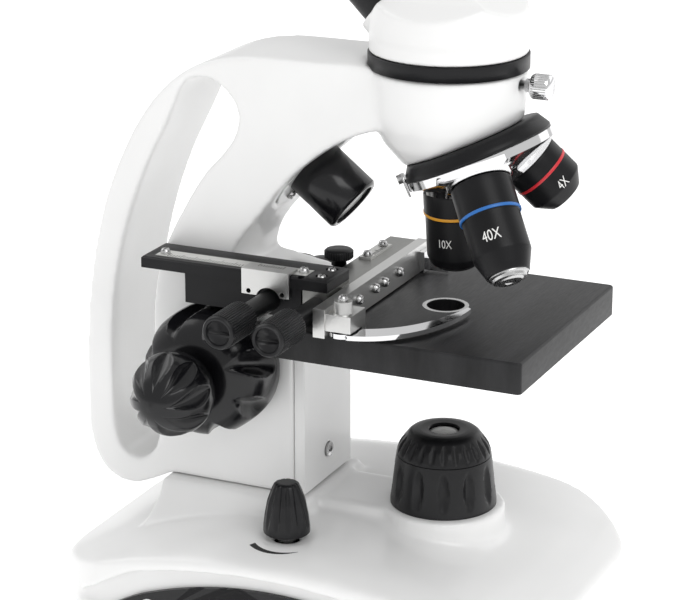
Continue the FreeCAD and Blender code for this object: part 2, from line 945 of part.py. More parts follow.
channel_half = size("guide_channel_width") / 2
channel_rear = column_front + size("guide_channel_depth")
channel = Part.makeBox(
    2 * channel_half,
    channel_rear - column_front + 1,
    shoulder - column_foot + 20,
    Vector(-channel_half, column_front - 1, column_foot + 3),
)
pinion_room = Part.makeBox(
    2 * channel_half,
    size("focus_y") + 10 - column_front,
    34,
    Vector(-channel_half, column_front, size("focus_height") - 17),
)
focus_bore = Part.makeCylinder(
    size("focus_bore"),
    2 * half_column + 2,
    Vector(-half_column - 1, size("focus_y"), size("focus_height")),
    Vector(1, 0, 0),
)
casting = casting.cut(channel.fuse([pinion_room, focus_bore]))
for x, y in column_bolts:
    casting = casting.cut(Part.makeCylinder(screw_bore, 12, Vector(x, y, size("neck_top") - 4)))

lamp_lean = math.radians(size("lamp_lean"))
lamp_dir = Vector(0, -math.cos(lamp_lean), -math.sin(lamp_lean))
lamp_turn = Rotation(Vector(0, 0, 1), lamp_dir)
lamp_back = Vector(0, size("lamp_face_y"), size("lamp_face_z")) - lamp_dir * size("lamp_long")
lamp_frame = Placement(lamp_back, lamp_turn)
lamp_y = "lamp_face_y + lamp_long * cos(lamp_lean)"
lamp_z = "lamp_face_z + lamp_long * sin(lamp_lean)"


def cover_oval(shrink, low, high):
    """The oval round the upper lamp's root, between two heights along the lamp."""
    oval = Part.Ellipse(
        Vector(0, 0, low), size("cover_half_long") - shrink, size("cover_half_wide") - shrink
    )
    face = Part.Face(Part.Wire([oval.toShape()]))
    face.rotate(Vector(0, 0, 0), Vector(0, 0, 1), 90)
    face.translate(Vector(0, -1.6, 0))
    slab = face.extrude(Vector(0, 0, high - low))
    slab.Placement = lamp_frame
    return slab


lamp_seat = Part.makeCylinder(size("lamp_radius") + 0.02, size("lamp_long"))
lamp_seat.Placement = lamp_frame
cover_face = size("cover_place")
cover_screw_y = 1.5 - size("cover_half_long") + 2.2
cover_screw_bore = Part.makeCylinder(screw_bore, 14, Vector(0, cover_screw_y, cover_face - 11))
cover_screw_bore.Placement = lamp_frame
casting = casting.cut(lamp_seat.fuse(cover_oval(0, cover_face - 2, size("lamp_long"))))
casting = casting.cut(cover_screw_bore)
casting = casting.cut(outer)
shaped("arm", casting.removeSplitter())
cover = cover_oval(0.15, cover_face - 2, cover_face - 0.1).cut(lamp_seat)
shaped("lamp_cover", cover.cut(cover_screw_bore))
cover_screw = slotted("cover_screw", "0", "0", "0", long="screw_long - 2", head="screw_radius * 1.5")
cover_turn = lamp_turn.multiply(Rotation(Vector(1, 0, 0), 180))
cover_spot = lamp_frame.multVec(Vector(0, cover_screw_y, cover_face - 0.1))
cover_screw.Placement = Placement(cover_spot, cover_turn)
cover_screw.setExpression("Placement.Base.x", None)
cover_screw.setExpression("Placement.Base.y", None)
cover_screw.setExpression("Placement.Base.z", None)
cover_screw.Placement = Placement(cover_spot, cover_turn)
keep(place(group("frame_screw_set", frame_screws + [cover_screw])), "frame_screws")

lamp_tube = turned(
    "lamp_tube",
    [
        ("0", "0"),
        ("lamp_radius", "0"),
        ("lamp_radius", "lamp_long - 1"),
        ("lamp_radius - 0.9", "lamp_long"),
        ("lamp_radius - 2.2", "lamp_long"),
        ("lamp_radius - 2.2", "lamp_long - 1.2"),
        ("lamp_radius - 1.4", "lamp_long - 1.2"),
        ("lamp_radius - 1.4", "4"),
        ("0", "4"),
    ],
)
keep(place(lamp_tube, "0", lamp_y, lamp_z, lamp_turn), "lamp_housing")
lamp_front = turned(
    "lamp_front",
    [
        ("0", "lamp_long - 4.2"),
        ("lamp_radius - 1.5", "lamp_long - 4.2"),
        ("lamp_radius - 1.5", "lamp_long - 1.3"),
        ("4", "lamp_long - 0.9"),
        ("0", "lamp_long - 0.6"),
    ],
)
keep(place(lamp_front, "0", lamp_y, lamp_z, lamp_turn), "lamp_lens")
lower_led = led_module("lower_led", "0", "0", "boss_top")
upper_led = led_module(
    "upper_led", "0", lamp_y + " - 4 * cos(lamp_lean)", lamp_z + " - 4 * sin(lamp_lean)", lamp_turn
)
keep(place(group("led_set", [lower_led, upper_led])), "led_modules")


# ----------------------------------------------------------------------------------------------------------
# Focus drive and stage carriage
# ----------------------------------------------------------------------------------------------------------


def tooth(pitch, half, addendum, dedendum, height):
    """Four corners of one tooth, at a place along a rack whose pitch line is at the given height."""
    lean = math.tan(math.radians(20))
    root = half + dedendum * lean
    tip = half - addendum * lean
    return [
        (pitch - root, height - dedendum),
        (pitch - tip, height + addendum),
        (pitch + tip, height + addendum),
        (pitch + root, height - dedendum),
    ]


def pinion_shape(teeth, module, width):
    """A straight-cut pinion about Z with a tooth on +X; its teeth are a little thin, for backlash."""
    radius = teeth * module / 2
    corners = []
    for number in range(teeth):
        turn = 2 * math.pi * number / teeth
        for along, out in tooth(0, 0.5 * module, 0.8 * module, module, radius):
            corners.append(
                Vector(
                    out * math.cos(turn) - along * math.sin(turn),
                    out * math.sin(turn) + along * math.cos(turn), 0
                )
            )
    corners.append(corners[0])
    return Part.Face(Part.makePolygon(corners)).extrude(Vector(0, 0, width))


def rack_shape(first, last, module, back, width):
    """A rack along X with its teeth up +Y from the pitch line at y = 0 and its back at y = -back."""
    pitch = math.pi * module
    corners = [Vector((first - 0.5) * pitch, -back, 0), Vector((first - 0.5) * pitch, -module, 0)]
    for number in range(first, last + 1):
        for along, out in tooth(number * pitch, 0.5 * module, 0.8 * module, module, 0):
            corners.append(Vector(along, out, 0))
    corners.append(Vector((last + 0.5) * pitch, -module, 0))
    corners.append(Vector((last + 0.5) * pitch, -back, 0))
    corners.append(corners[0])
    return Part.Face(Part.makePolygon(corners)).extrude(Vector(0, 0, width))


focus_y = size("focus_y")
focus_z = size("focus_height")
guide_points = [
    ("dovetail_width / 2 - 1.7", "column_front + 0.1"),
    ("guide_channel_width / 2", "column_front + 0.1"),
    ("guide_channel_width / 2", "column_front + guide_channel_depth"),
    ("rack_width / 2 + 0.8", "column_front + guide_channel_depth"),
    ("rack_width / 2 + 0.8", "column_front + dovetail_depth + 0.1"),
    ("dovetail_width / 2 + 0.3", "column_front + dovetail_depth + 0.1"),
]
right_gib = extruded("right_gib", guide_points, "column_shoulder - neck_top - 5")
locate(right_gib, "0", "0", "neck_top + 3.2")
left_gib = extruded(
    "left_gib", [("-(%s)" % across, up) for across, up in guide_points], "column_shoulder - neck_top - 5"
)
locate(left_gib, "0", "0", "neck_top + 3.2")
keep(place(group("gib_pair", [right_gib, left_gib])), "dovetail_guide")

bushes = []
for side, turn in (("", ALONG_MINUS_X), ("-", ALONG_X)):
    bush = turned(
        "bush",
        [
            ("focus_shaft_radius + running_gap", "-0.8"),
            ("focus_bore + 2", "-0.8"),
            ("focus_bore + 2", "0"),
            ("focus_bore", "0"),
            ("focus_bore", "7"),
            ("focus_shaft_radius + running_gap", "7"),
        ],
    )
    bushes.append(locate(bush, side + "column_width / 2", "focus_y", "focus_height", turn))
keep(place(group("bush_pair", bushes)), "focus_bushes")

shaft_reach = size("coarse_reach") - 2
shaft = Part.makeCylinder(size("focus_shaft_radius"), 2 * shaft_reach, Vector(0, 0, -shaft_reach))
pinion = pinion_shape(12, size("rack_module"), size("rack_width") - 0.6)
pinion.translate(Vector(0, 0, 0.3 - size("rack_width") / 2))
fine_bore = Part.makeCylinder(
    size("fine_shaft_radius") + size("running_gap"), 2 * shaft_reach + 2, Vector(0, 0, -shaft_reach - 1)
)
shaft = shaft.fuse(pinion).cut(fine_bore)
# the pinion's first tooth points at the rack, down -Y
shaft.Placement = Placement(
    Vector(0, focus_y, focus_z), Rotation(Vector(0, -1, 0), Vector(0, 0, -1), Vector(1, 0, 0), "ZXY")
)
shaped("focus_shaft", shaft)


def scalloped(knob, count, ring, radius, low, high, lean):
    """Flutes round a knob about its own Z, each a leaning rod cut away."""
    for number in range(count):
        turn = 360 * (number + 0.5) / count
        flute = Part.makeCylinder(radius, high - low, Vector(0, 0, 0))
        flute.rotate(Vector(0, 0, 0), Vector(1, 0, 0), lean)
        flute.translate(Vector(ring, 0, low))
        flute.rotate(Vector(0, 0, 0), Vector(0, 0, 1), turn)
        knob = knob.cut(flute)
    return knob


def lathe(points):
    """A plain turned shape about Z from (radius, height) points."""
    corners = [Vector(radius, 0, height) for radius, height in points]
    return Part.Face(Part.makePolygon(corners + corners[:1])).revolve(Vector(0, 0, 0), Vector(0, 0, 1), 360)


coarse = size("coarse_radius")
coarse_start = size("column_width") / 2 + size("coarse_gap")
coarse_tall = size("coarse_reach") - coarse_start
shaft_bore = size("focus_shaft_radius")
coarse_shape = lathe(
    [
        (shaft_bore, 0),
        (coarse - 3, 0),
        (coarse - 0.6, 2.5),
        (coarse, 8),
        (coarse - 0.3, coarse_tall * 0.62),
        (coarse - 2.2, coarse_tall * 0.82),
        (coarse - 5.5, coarse_tall * 0.94),
        (coarse - 9.5, coarse_tall),
        (shaft_bore, coarse_tall),
    ]
)
coarse_shape = scalloped(coarse_shape, int(size("coarse_scallops")), coarse + 5.5, 7.5, 5, 40, 12)
fine = size("fine_radius")
fine_start = size("coarse_reach") + size("fine_gap")
fine_tall = size("fine_reach") - fine_start
fine_body = [
    (0, 0),
    (fine - 5.4, 0),
    (fine - 2.6, fine_tall * 0.12),
    (fine - 0.5, fine_tall * 0.3),
    (fine, fine_tall * 0.45),
    (fine - 0.9, fine_tall * 0.6),
    (fine - 3.2, fine_tall * 0.76),
    (fine - 6.6, fine_tall * 0.89),
    (fine - 10.4, fine_tall * 0.975),
    (0, fine_tall),
]
fine_shape = scalloped(lathe(fine_body), 9, fine + 2.4, 4, 0, 30, -7)
axle_half = fine_start + fine_tall * 0.4
axle_hole = Part.makeCylinder(size("fine_shaft_radius"), fine_tall * 0.4)
for name, side, turn in (("left", -1, ALONG_MINUS_X), ("right", 1, ALONG_X)):
    knob = coarse_shape.copy()
    knob.Placement = Placement(Vector(side * coarse_start, focus_y, focus_z), turn)
    shaped("coarse_knob_" + name, knob)
    knob = fine_shape.cut(axle_hole)
    knob.Placement = Placement(Vector(side * fine_start, focus_y, focus_z), turn)
    if side < 0:
        axle = Part.makeCylinder(
            size("fine_shaft_radius"), 2 * axle_half, Vector(-axle_half, focus_y, focus_z), Vector(1, 0, 0)
        )
        knob = knob.fuse(axle)
    shaped("fine_knob_" + name, knob)

plate_rear = size("column_front") - 0.3
plate_front = plate_rear - size("carriage_thick")
half_column = size("column_width") / 2
plate = Part.makeBox(
    2 * half_column,
    size("carriage_thick"),
    size("carriage_top") - size("carriage_foot"),
    Vector(-half_column, plate_front, size("carriage_foot")),
)
root = size("dovetail_width") / 2 - 2
wide = size("dovetail_width") / 2
tail_rear = size("column_front") + size("dovetail_depth") - 0.1
tail = Part.Face(
    Part.makePolygon(
        [
            Vector(-root, plate_rear - 0.5, 0),
            Vector(-root, size("column_front") + 0.2, 0),
            Vector(-wide, tail_rear, 0),
            Vector(wide, tail_rear, 0),
            Vector(root, size("column_front") + 0.2, 0),
            Vector(root, plate_rear - 0.5, 0),
            Vector(-root, plate_rear - 0.5, 0),
        ]
    )
).extrude(Vector(0, 0, 60))
tail.translate(Vector(0, 0, size("carriage_foot") + 4))
socket_y = plate_front
socket_z = size("carriage_foot") + 10.4
socket_hole = Part.makeCylinder(1.55, 8, Vector(0, socket_y - 1, socket_z), Vector(0, 1, 0))
socket_seat = Part.makeCylinder(2.7, 2.2, Vector(0, socket_y - 1, socket_z), Vector(0, 1, 0))
carriage = plate.fuse(tail).cut(socket_hole.fuse(socket_seat))
shaped("stage_carriage", carriage)

rack_module = size("rack_module")
rack_pitch_y = focus_y - 12 * rack_module / 2
rack = rack_shape(-4, 1, rack_module, rack_pitch_y - tail_rear, size("rack_width"))
rack.translate(Vector(-math.pi * rack_module / 2, 0, -size("rack_width") / 2))
# its length runs up +Z, its teeth point +Y
rack.Placement = Placement(
    Vector(0, rack_pitch_y, focus_z), Rotation(Vector(0, 0, 1), Vector(0, 1, 0), Vector(-1, 0, 0), "XYZ")
).multiply(rack.Placement)
shaped("focus_rack", rack)

stage_foot = size("stage_top") - size("stage_thick")
half_stage = size("stage_width") / 2
table = Part.makeBox(
    size("stage_width"), size("stage_front") + plate_front, size("stage_thick"),
    Vector(-half_stage, -size("stage_front"), stage_foot)
)
upright = []
top_edges = []
for edge in table.Edges:
    first, last = edge.Vertexes[0].Point, edge.Vertexes[1].Point
    if abs(first.z - last.z) > 1:
        upright.append(edge)
table = table.makeFillet(1.6, upright)
for edge in table.Edges:
    if min(vertex.Point.z for vertex in edge.Vertexes) > size("stage_top") - 0.01:
        top_edges.append(edge)
table = table.makeChamfer(0.5, top_edges)
pivot_y = size("disc_pivot_y")
table = table.cut(Part.makeCylinder(size("stage_hole"), 40, Vector(0, 0, stage_foot - 10)))
table = table.cut(Part.makeCylinder(screw_bore, 8, Vector(0, pivot_y, stage_foot - 1)))
clamp_y = size("clamp_y")
clamp_bore = size("post_small") + 0.3
table = table.cut(Part.makeCylinder(clamp_bore, 6, Vector(0, clamp_y, size("stage_top") - 5)))
shaped("stage_plate", table)

disc_top = stage_foot - 0.2
disc = Part.makeCylinder(
    size("disc_radius"), size("disc_thick"), Vector(0, pivot_y, disc_top - size("disc_thick"))
)
disc = disc.cut(Part.makeCylinder(screw_bore, 10, Vector(0, pivot_y, disc_top - 5)))
for number, shrink in enumerate((1.0, 0.75, 0.5, 0.3, 0.15)):
    turn = math.radians(-90 + 72 * number)
    hole = Part.makeCylinder(
        size("disc_hole") * shrink,
        10,
        Vector(pivot_y * math.cos(turn), pivot_y + pivot_y * math.sin(turn), disc_top - 5),
    )
    disc = disc.cut(hole)
shaped("disc_diaphragm", disc)

pivot_screw = slotted("pivot_screw", "0", "disc_pivot_y", "stage_top - stage_thick - disc_thick - 0.4")
socket_head = Part.makeCylinder(2.6, 2.0, Vector(0, socket_y - 0.85, socket_z), Vector(0, 1, 0))
socket_head = socket_head.fuse(Part.makeCylinder(1.5, 6, Vector(0, socket_y, socket_z), Vector(0, 1, 0)))
hexagon = Part.makePolygon(
    [
        Vector(
            1.3 * math.cos(math.radians(60 * n)), socket_y - 2,
            socket_z + 1.3 * math.sin(math.radians(60 * n))
        )
        for n in range(7)
    ]
)
socket_head = socket_head.cut(Part.Face(hexagon).extrude(Vector(0, 2.4, 0)))
socket_screw = doc.addObject("Part::Feature", "socket_screw")
socket_screw.Shape = socket_head
keep(place(group("stage_screw_set", [pivot_screw, socket_screw])), "stage_screws")

# ----------------------------------------------------------------------------------------------------------
# Slide holder: the part fixed to the stage
# ----------------------------------------------------------------------------------------------------------

stage_z = size("stage_top")
knob_z = stage_z + size("cross_knob_height")
holder_foot = stage_z + 0.02
block_low = stage_z + 1
rail_low = stage_z + size("rail_rise") + 0.2
block_top = stage_z + size("rail_rise")
rail_x = size("rail_x")
rail_half = size("rail_width") / 2
block_half = rail_half - 0.6
y_knob_y = size("y_knob_y")
x_knob_y = size("x_knob_y")
post_small = size("post_small")
gear_teeth = 14
small_module = size("small_module")
gear_radius = gear_teeth * small_module / 2
gear_width = 4.4
keel_width = 5.0
trim_screw = {"radius": "trim_screw_radius", "head": "trim_head_radius", "long": "trim_screw_long"}
trim_bore = size("trim_screw_radius") + 0.02


def trim_hole(x, y, z, direction):
    """The hole for one of the holder's small screws, from its head's seat."""
    return Part.makeCylinder(trim_bore, size("trim_screw_long") + 1.5, Vector(x, y, z), direction)


block_front = size("block_front")
block_body = Part.makeBox(
    2 * block_half,
    size("block_rear") - block_front,
    block_top - block_low,
    Vector(rail_x - block_half, block_front, block_low),
)
foot_rear = plate_front - 0.2
foot_plate = Part.makeBox(
    size("holder_foot_long"),
    foot_rear - block_front,
    size("holder_foot_thick"),
    Vector(rail_x - block_half, block_front, holder_foot),
)
keel_way = Part.makeBox(
    keel_width + 0.4, 80, 2.4, Vector(rail_x - keel_width / 2 - 0.2, block_front - 10, block_top - 2.2)
)
gear_room = Part.makeCylinder(
    gear_radius + 1, gear_width + 0.6, Vector(rail_x - gear_width / 2 - 0.3, y_knob_y, knob_z),
    Vector(1, 0, 0)
)
y_bore = Part.makeCylinder(post_small + 0.05, 30, Vector(rail_x - 12, y_knob_y, knob_z), Vector(1, 0, 0))
clamp_way = Part.makeCylinder(post_small + 0.05, 30, Vector(0, clamp_y, stage_z - 10))
holder = block_body.fuse(foot_plate).cut(keel_way.fuse([gear_room, y_bore, clamp_way]))
bracket_face = rail_x - rail_half - 1.2
bracket_y = size("bracket_y")
bracket_half = size("bracket_long") / 2
bracket_spots = [bracket_y - bracket_half + 2.6, bracket_y + bracket_half - 2.6]
bracket_screw_z = block_top - 2.2
for y in bracket_spots:
    holder = holder.cut(trim_hole(rail_x - block_half, y, bracket_screw_z, Vector(1, 0, 0)))
shaped("holder_base", holder)

rail_roof = stage_z + size("rail_top") + 0.3
bracket = Part.makeBox(
    1.1, 2 * bracket_half, rail_roof + 0.9 - (knob_z + 1.6),
    Vector(bracket_face, bracket_y - bracket_half, knob_z + 1.6)
)
flange = Part.makeBox(7.2, 2 * bracket_half, 0.9, Vector(bracket_face, bracket_y - bracket_half, rail_roof))
arch = Part.makeCylinder(4.6, 10, Vector(bracket_face - 3, y_knob_y, knob_z), Vector(1, 0, 0))
spacers = [
    Part.makeCylinder(
        1.7, rail_x - block_half - bracket_face - 1.1,
        Vector(bracket_face + 1.1, y, bracket_screw_z), Vector(1, 0, 0)
    )
    for y in bracket_spots
]
bracket = bracket.fuse([flange] + spacers).cut(arch)
for y in bracket_spots:
    bracket = bracket.cut(trim_hole(bracket_face - 1, y, bracket_screw_z, Vector(1, 0, 0)))
shaped("vernier_bracket", bracket)

clamp_head = lathe(
    [
        (0, stage_z - 4.6),
        (post_small, stage_z - 4.6),
        (post_small, stage_z + 9.2),
        (post_small + 0.6, stage_z + 9.2),
        (post_small + 0.6, stage_z + 11.4),
        (size("clamp_radius") - 0.5, stage_z + 11.4),
        (size("clamp_radius"), stage_z + 12),
        (size("clamp_radius"), stage_z + 14.2),
        (size("clamp_radius") - 0.5, stage_z + 14.7),
        (0, stage_z + 14.7),
    ]
)
clamp_head.translate(Vector(0, clamp_y, 0))
shaped("holder_clamp_screw", clamp_head)

# ----------------------------------------------------------------------------------------------------------
# Slide holder: the part that moves front to back
# ----------------------------------------------------------------------------------------------------------

rail_front = size("rail_front")
rail_rear = size("rail_rear")
rail_high = stage_z + size("rail_top")
rail = Part.makeBox(
    2 * rail_half, rail_rear - rail_front, rail_high - rail_low,
    Vector(rail_x - rail_half, rail_front, rail_low)
)
rim = []
for edge in rail.Edges:
    if min(vertex.Point.z for vertex in edge.Vertexes) > rail_high - 0.01:
        rim.append(edge)
rail = rail.makeChamfer(0.6, rim)
scale_low = rail_high - 0.35
scale_front = rail_front + 9
scale_rear = rail_rear - 4
scale_wide = 6.4
scale_x = rail_x - 2.6
scale_seat = Part.makeBox(
    scale_wide + 0.1, scale_rear - scale_front + 0.1, 2,
    Vector(scale_x - scale_wide / 2 - 0.05, scale_front - 0.05, scale_low)
)
rail = rail.cut(scale_seat)
keel = rack_shape(-2, 10, small_module, block_top - 1.2 - (knob_z + gear_radius) + 1.4, keel_width - 0.6)
keel.translate(Vector(0, 0, -(keel_width - 0.6) / 2))
# the keel's length runs along Y, its teeth point down
keel.Placement = Placement(
    Vector(rail_x, y_knob_y, knob_z + gear_radius),
    Rotation(Vector(0, 1, 0), Vector(0, 0, -1), Vector(-1, 0, 0), "XYZ")
).multiply(keel.Placement)
keel = keel.common(
    Part.makeBox(
        20, 100, rail_low + 0.5 - (knob_z + gear_radius - 1),
        Vector(rail_x - 10, 0, knob_z + gear_radius - 1)
    )
)
rail = rail.fuse(keel)
rail_screw_spots = [(rail_x + 4.6, rail_front + 4.4), (rail_x - 3.4, rail_front + 4.4)]
for x, y in rail_screw_spots:
    rail = rail.cut(Part.makeCylinder(2.1, 1.3, Vector(x, y, rail_high), Vector(0, 0, -1)))
    rail = rail.cut(trim_hole(x, y, rail_high, Vector(0, 0, -1)))
rail = rail.cut(Part.makeCylinder(1.2, 10, Vector(rail_x - 7.2, rail_front + 10.1, rail_low - 1)))
scale_spots = [scale_front + 2.2, scale_rear - 2.2]
scale = Part.makeBox(
    scale_wide, scale_rear - scale_front, 0.5, Vector(scale_x - scale_wide / 2, scale_front, scale_low)
)
for y in scale_spots:
    hole = trim_hole(scale_x, y, scale_low + 1, Vector(0, 0, -1))
    scale = scale.cut(hole)
    rail = rail.cut(hole)
shaped("y_rail", rail)
shaped("y_scale", scale)

guide_near = size("guide_near")
guide_far = size("guide_far")
guide_front = size("guide_front")
guide_rear = size("guide_rear")
guide_high = stage_z + size("guide_top")
guide_low = stage_z + 1.2
x_guide = Part.makeBox(
    guide_far - guide_near, guide_rear - guide_front, guide_high - guide_low,
    Vector(guide_near, guide_front, guide_low)
)
pad_near = rail_x - rail_half
x_guide = x_guide.fuse(
    Part.makeBox(
        guide_near + 6 - pad_near, guide_rear - rail_front, rail_low - guide_low,
        Vector(pad_near, rail_front, guide_low)
    )
)
nut_room = Part.makeBox(
    guide_far - guide_near - 8, guide_rear - 2 - guide_front, 6.4,
    Vector(guide_near + 5, guide_front, knob_z - 3.2)
)
x_bore = Part.makeCylinder(
    post_small + 0.05, guide_far - pad_near + 2, Vector(pad_near - 1, x_knob_y, knob_z), Vector(1, 0, 0)
)
x_guide = x_guide.cut(nut_room.fuse(x_bore))
for x, y in rail_screw_spots:
    x_guide = x_guide.cut(trim_hole(x, y, rail_high - 1.2, Vector(0, 0, -1)))
vernier_spots = [8.0, 21.0]
vernier_y = guide_front + 6.6
vernier = Part.makeBox(18.0, 4.6, 0.8, Vector(5.5, vernier_y - 2.3, guide_high))
for x in vernier_spots:
    hole = trim_hole(x, vernier_y, guide_high + 0.8, Vector(0, 0, -1))
    vernier = vernier.cut(hole)
    x_guide = x_guide.cut(hole)
shaped("x_guide", x_guide)
shaped("x_vernier", vernier)

rail_screws = []
for x, y in rail_screw_spots:
    rail_screws.append(
        slotted("rail_screw", str(x), str(y), "stage_top + rail_top - 1.3", UPSIDE_DOWN, **trim_screw)
    )
for y in scale_spots:
    rail_screws.append(
        slotted(
            "scale_screw", str(scale_x), str(y), "stage_top + rail_top + 0.15", UPSIDE_DOWN, **trim_screw
        )
    )
for x in vernier_spots:
    rail_screws.append(
        slotted(
            "vernier_screw", str(x), str(vernier_y), "stage_top + guide_top + 0.8", UPSIDE_DOWN,
            **{**trim_screw, "long": "1.5"}
        )
    )
keep(place(group("rail_screw_set", rail_screws)), "rail_screws")


def cross_knob(y, sleeve_end, shaft_end, extra):
    """A ribbed cross-motion knob along X: grip, sleeve and shaft."""
    face = -size("knob_face")
    grip_end = face + size("knob_grip_long")
    grip_radius = size("knob_grip_radius")
    sleeve = size("knob_sleeve_radius")
    spine = lathe(
        [
            (0, 1.2),
            (grip_radius - 1.6, 1.2),
            (grip_radius - 1.2, 0),
            (grip_radius - 0.5, 0),
            (grip_radius, 0.6),
            (grip_radius, grip_end - face - 0.6),
            (grip_radius - 0.6, grip_end - face),
            (sleeve, grip_end - face),
            (sleeve, sleeve_end - face),
            (post_small, sleeve_end - face),
            (post_small, shaft_end - face),
            (0, shaft_end - face),
        ]
    )
    spine = spine.cut(Part.makeBox(1.2, 9, 1.2, Vector(-0.6, -4.5, 0.6)).common(Part.makeCylinder(4, 5)))
    spine = spine.fuse(extra) if extra else spine
    spine.Placement = Placement(Vector(face, y, knob_z), ALONG_X)
    return spine


gear = pinion_shape(gear_teeth, small_module, gear_width)
# a gap between two teeth points up, at the keel's tooth
gear.rotate(Vector(0, 0, 0), Vector(0, 0, 1), 180 + 180 / gear_teeth)
gear.translate(Vector(0, 0, rail_x - gear_width / 2 + size("knob_face")))
shaped("y_knob", cross_knob(y_knob_y, rail_x - block_half - 0.3, rail_x + block_half - 1, gear))
shaped("x_knob", cross_knob(x_knob_y, pad_near - 0.4, guide_far - 0.6, None))

# ----------------------------------------------------------------------------------------------------------
# Slide holder: the part that moves across
# ----------------------------------------------------------------------------------------------------------

bar_near = size("bar_near")
bar_far = size("bar_far")
bar_front = guide_front - 0.3 - size("bar_thick")
bar_low = stage_z + size("bar_foot")
bar = Part.makeBox(
    bar_far - bar_near, size("bar_thick"), size("bar_tall"), Vector(bar_near, bar_front, bar_low)
)
nut = Part.makeBox(6, x_knob_y + 2.6 - bar_front - 1, 5.6, Vector(-14, bar_front + 1, knob_z - 2.8))
nut = nut.cut(Part.makeCylinder(post_small + 0.1, 10, Vector(-16, x_knob_y, knob_z), Vector(1, 0, 0)))
bar = bar.fuse(nut)
bar_spots = [-24.0, -10.6, -3.1, 9.5]
for x in bar_spots:
    bar = bar.cut(Part.makeCylinder(trim_bore, 3.4, Vector(x, bar_front - 0.5, knob_z), Vector(0, 1, 0)))
shaped("x_bar", bar)
bar_screws = [
    slotted(
        "bar_screw", str(x), str(bar_front), "stage_top + cross_knob_height", ALONG_Y, "2.6",
        "trim_screw_radius", "trim_head_radius"
    )
    for x in bar_spots
]

finger_x = bar_near + 4.5
finger_y = bar_front - 4.5
block_z = stage_z + 3.2
finger_post = size("post_radius")
finger_block = Part.makeBox(
    size("block_long"), size("block_wide"), stage_z + 9 - block_z,
    Vector(bar_near + 0.5, bar_front - size("block_wide"), block_z)
)
finger_block = finger_block.fuse(
    [
        Part.makeBox(
            3, size("block_wide"), 3, Vector(bar_near + 9.5, bar_front - size("block_wide"), stage_z + 0.6)
        ),
        Part.makeBox(4, 4, 2.6, Vector(bar_near + 12, bar_front - 6.5, stage_z + 3.2)),
        Part.makeCylinder(finger_post, 4.5, Vector(finger_x, finger_y, stage_z + 8.6)),
        Part.makeCylinder(1.4, 5, Vector(finger_x, finger_y, stage_z + 0.9)),
    ]
)
finger_block = finger_block.cut(trim_hole(finger_x, finger_y, stage_z + 13.1, Vector(0, 0, -1)))
shaped("finger_block", finger_block)
bar_screws.append(
    slotted("post_screw", str(finger_x), str(finger_y), "stage_top + 13.1", UPSIDE_DOWN, **trim_screw)
)
keep(place(group("bar_screw_set", bar_screws)), "bar_screws")

outer_edge = Part.BSplineCurve()
outer_edge.interpolate(
    [
        Vector(finger_x - 4.4, finger_y - 3, 0), Vector(-42.8, -0.4, 0), Vector(-28.4, -9.2, 0),
        Vector(-8, -12.4, 0)
    ]
)
inner_edge = Part.BSplineCurve()
inner_edge.interpolate(
    [Vector(-7, -11, 0), Vector(-21, -7, 0), Vector(-33, 0, 0), Vector(finger_x + 3.4, finger_y - 3.2, 0)]
)
finger_edges = [
    outer_edge.toShape(),
    Part.LineSegment(Vector(-8, -12.4, 0), Vector(-7, -11, 0)).toShape(),
    inner_edge.toShape(),
    Part.LineSegment(
        Vector(finger_x + 3.4, finger_y - 3.2, 0), Vector(finger_x - 4.4, finger_y - 3, 0)).toShape(
    ),
]
finger = Part.Face(Part.Wire(finger_edges)).extrude(Vector(0, 0, size("finger_thick")))
hub = Part.makeCylinder(4.4, size("finger_thick"), Vector(finger_x, finger_y, 0))
finger = finger.fuse(hub).cut(Part.makeCylinder(1.45, 5, Vector(finger_x, finger_y, -1)))
finger.translate(Vector(0, 0, stage_z + 1.2))
shaped("spring_finger", finger.removeSplitter())

jaw_back = Part.makeBox(7, 2, 7.9, Vector(27, bar_front - 2, stage_z + 0.6))
jaw_leg = Part.makeBox(
    2.2, size("block_wide"), 4.4, Vector(31.8, bar_front - size("block_wide"), stage_z + 0.6)
)
shaped("slide_jaw", jaw_back.fuse(jaw_leg))

# ----------------------------------------------------------------------------------------------------------
# Nosepiece
# ----------------------------------------------------------------------------------------------------------

nose_turn = Rotation(Vector(0, 0, 1), turret_axis)
nose_frame = Placement(apex, nose_turn)
mount_top = size("mount_top")
mount_rim = size("mount_rim")
turret_radius = size("turret_radius")
turret_band = size("turret_band")
stud = size("stud_radius")
cone_tip = turret_band + turret_radius * math.tan(tilt)
mount = lathe(
    [
        (0, mount_top),
        (size("mount_top_radius"), mount_top),
        (turret_radius, mount_rim - 1),
        (turret_radius, mount_rim),
        (stud, mount_rim),
        (stud, cone_tip + 0.6),
        (stud + 2.4, cone_tip + 0.6),
        (stud + 2.4, cone_tip + 2),
        (stud + 1.6, cone_tip + 2.6),
        (0, cone_tip + 2.6),
    ]
)
mount = mount.cut(Part.makeBox(9, 1, 1.2, Vector(-4.5, -0.5, cone_tip + 1.6)))
mount.Placement = nose_frame
mount = mount.cut(Part.makeCylinder(size("light_bore") - 0.5, 80, Vector(0, 0, 130)))
shaped("nosepiece_mount", mount)


def nose_direction(turn):
    """Which way an objective's axis points when it stands turned about the nosepiece's axis."""
    angle = math.radians(turn)
    return Vector(
        math.sin(tilt) * math.sin(angle),
        -math.sin(tilt) * math.cos(tilt) * (1 - math.cos(angle)),
        -math.cos(tilt) ** 2 - math.sin(tilt) ** 2 * math.cos(angle),
    )


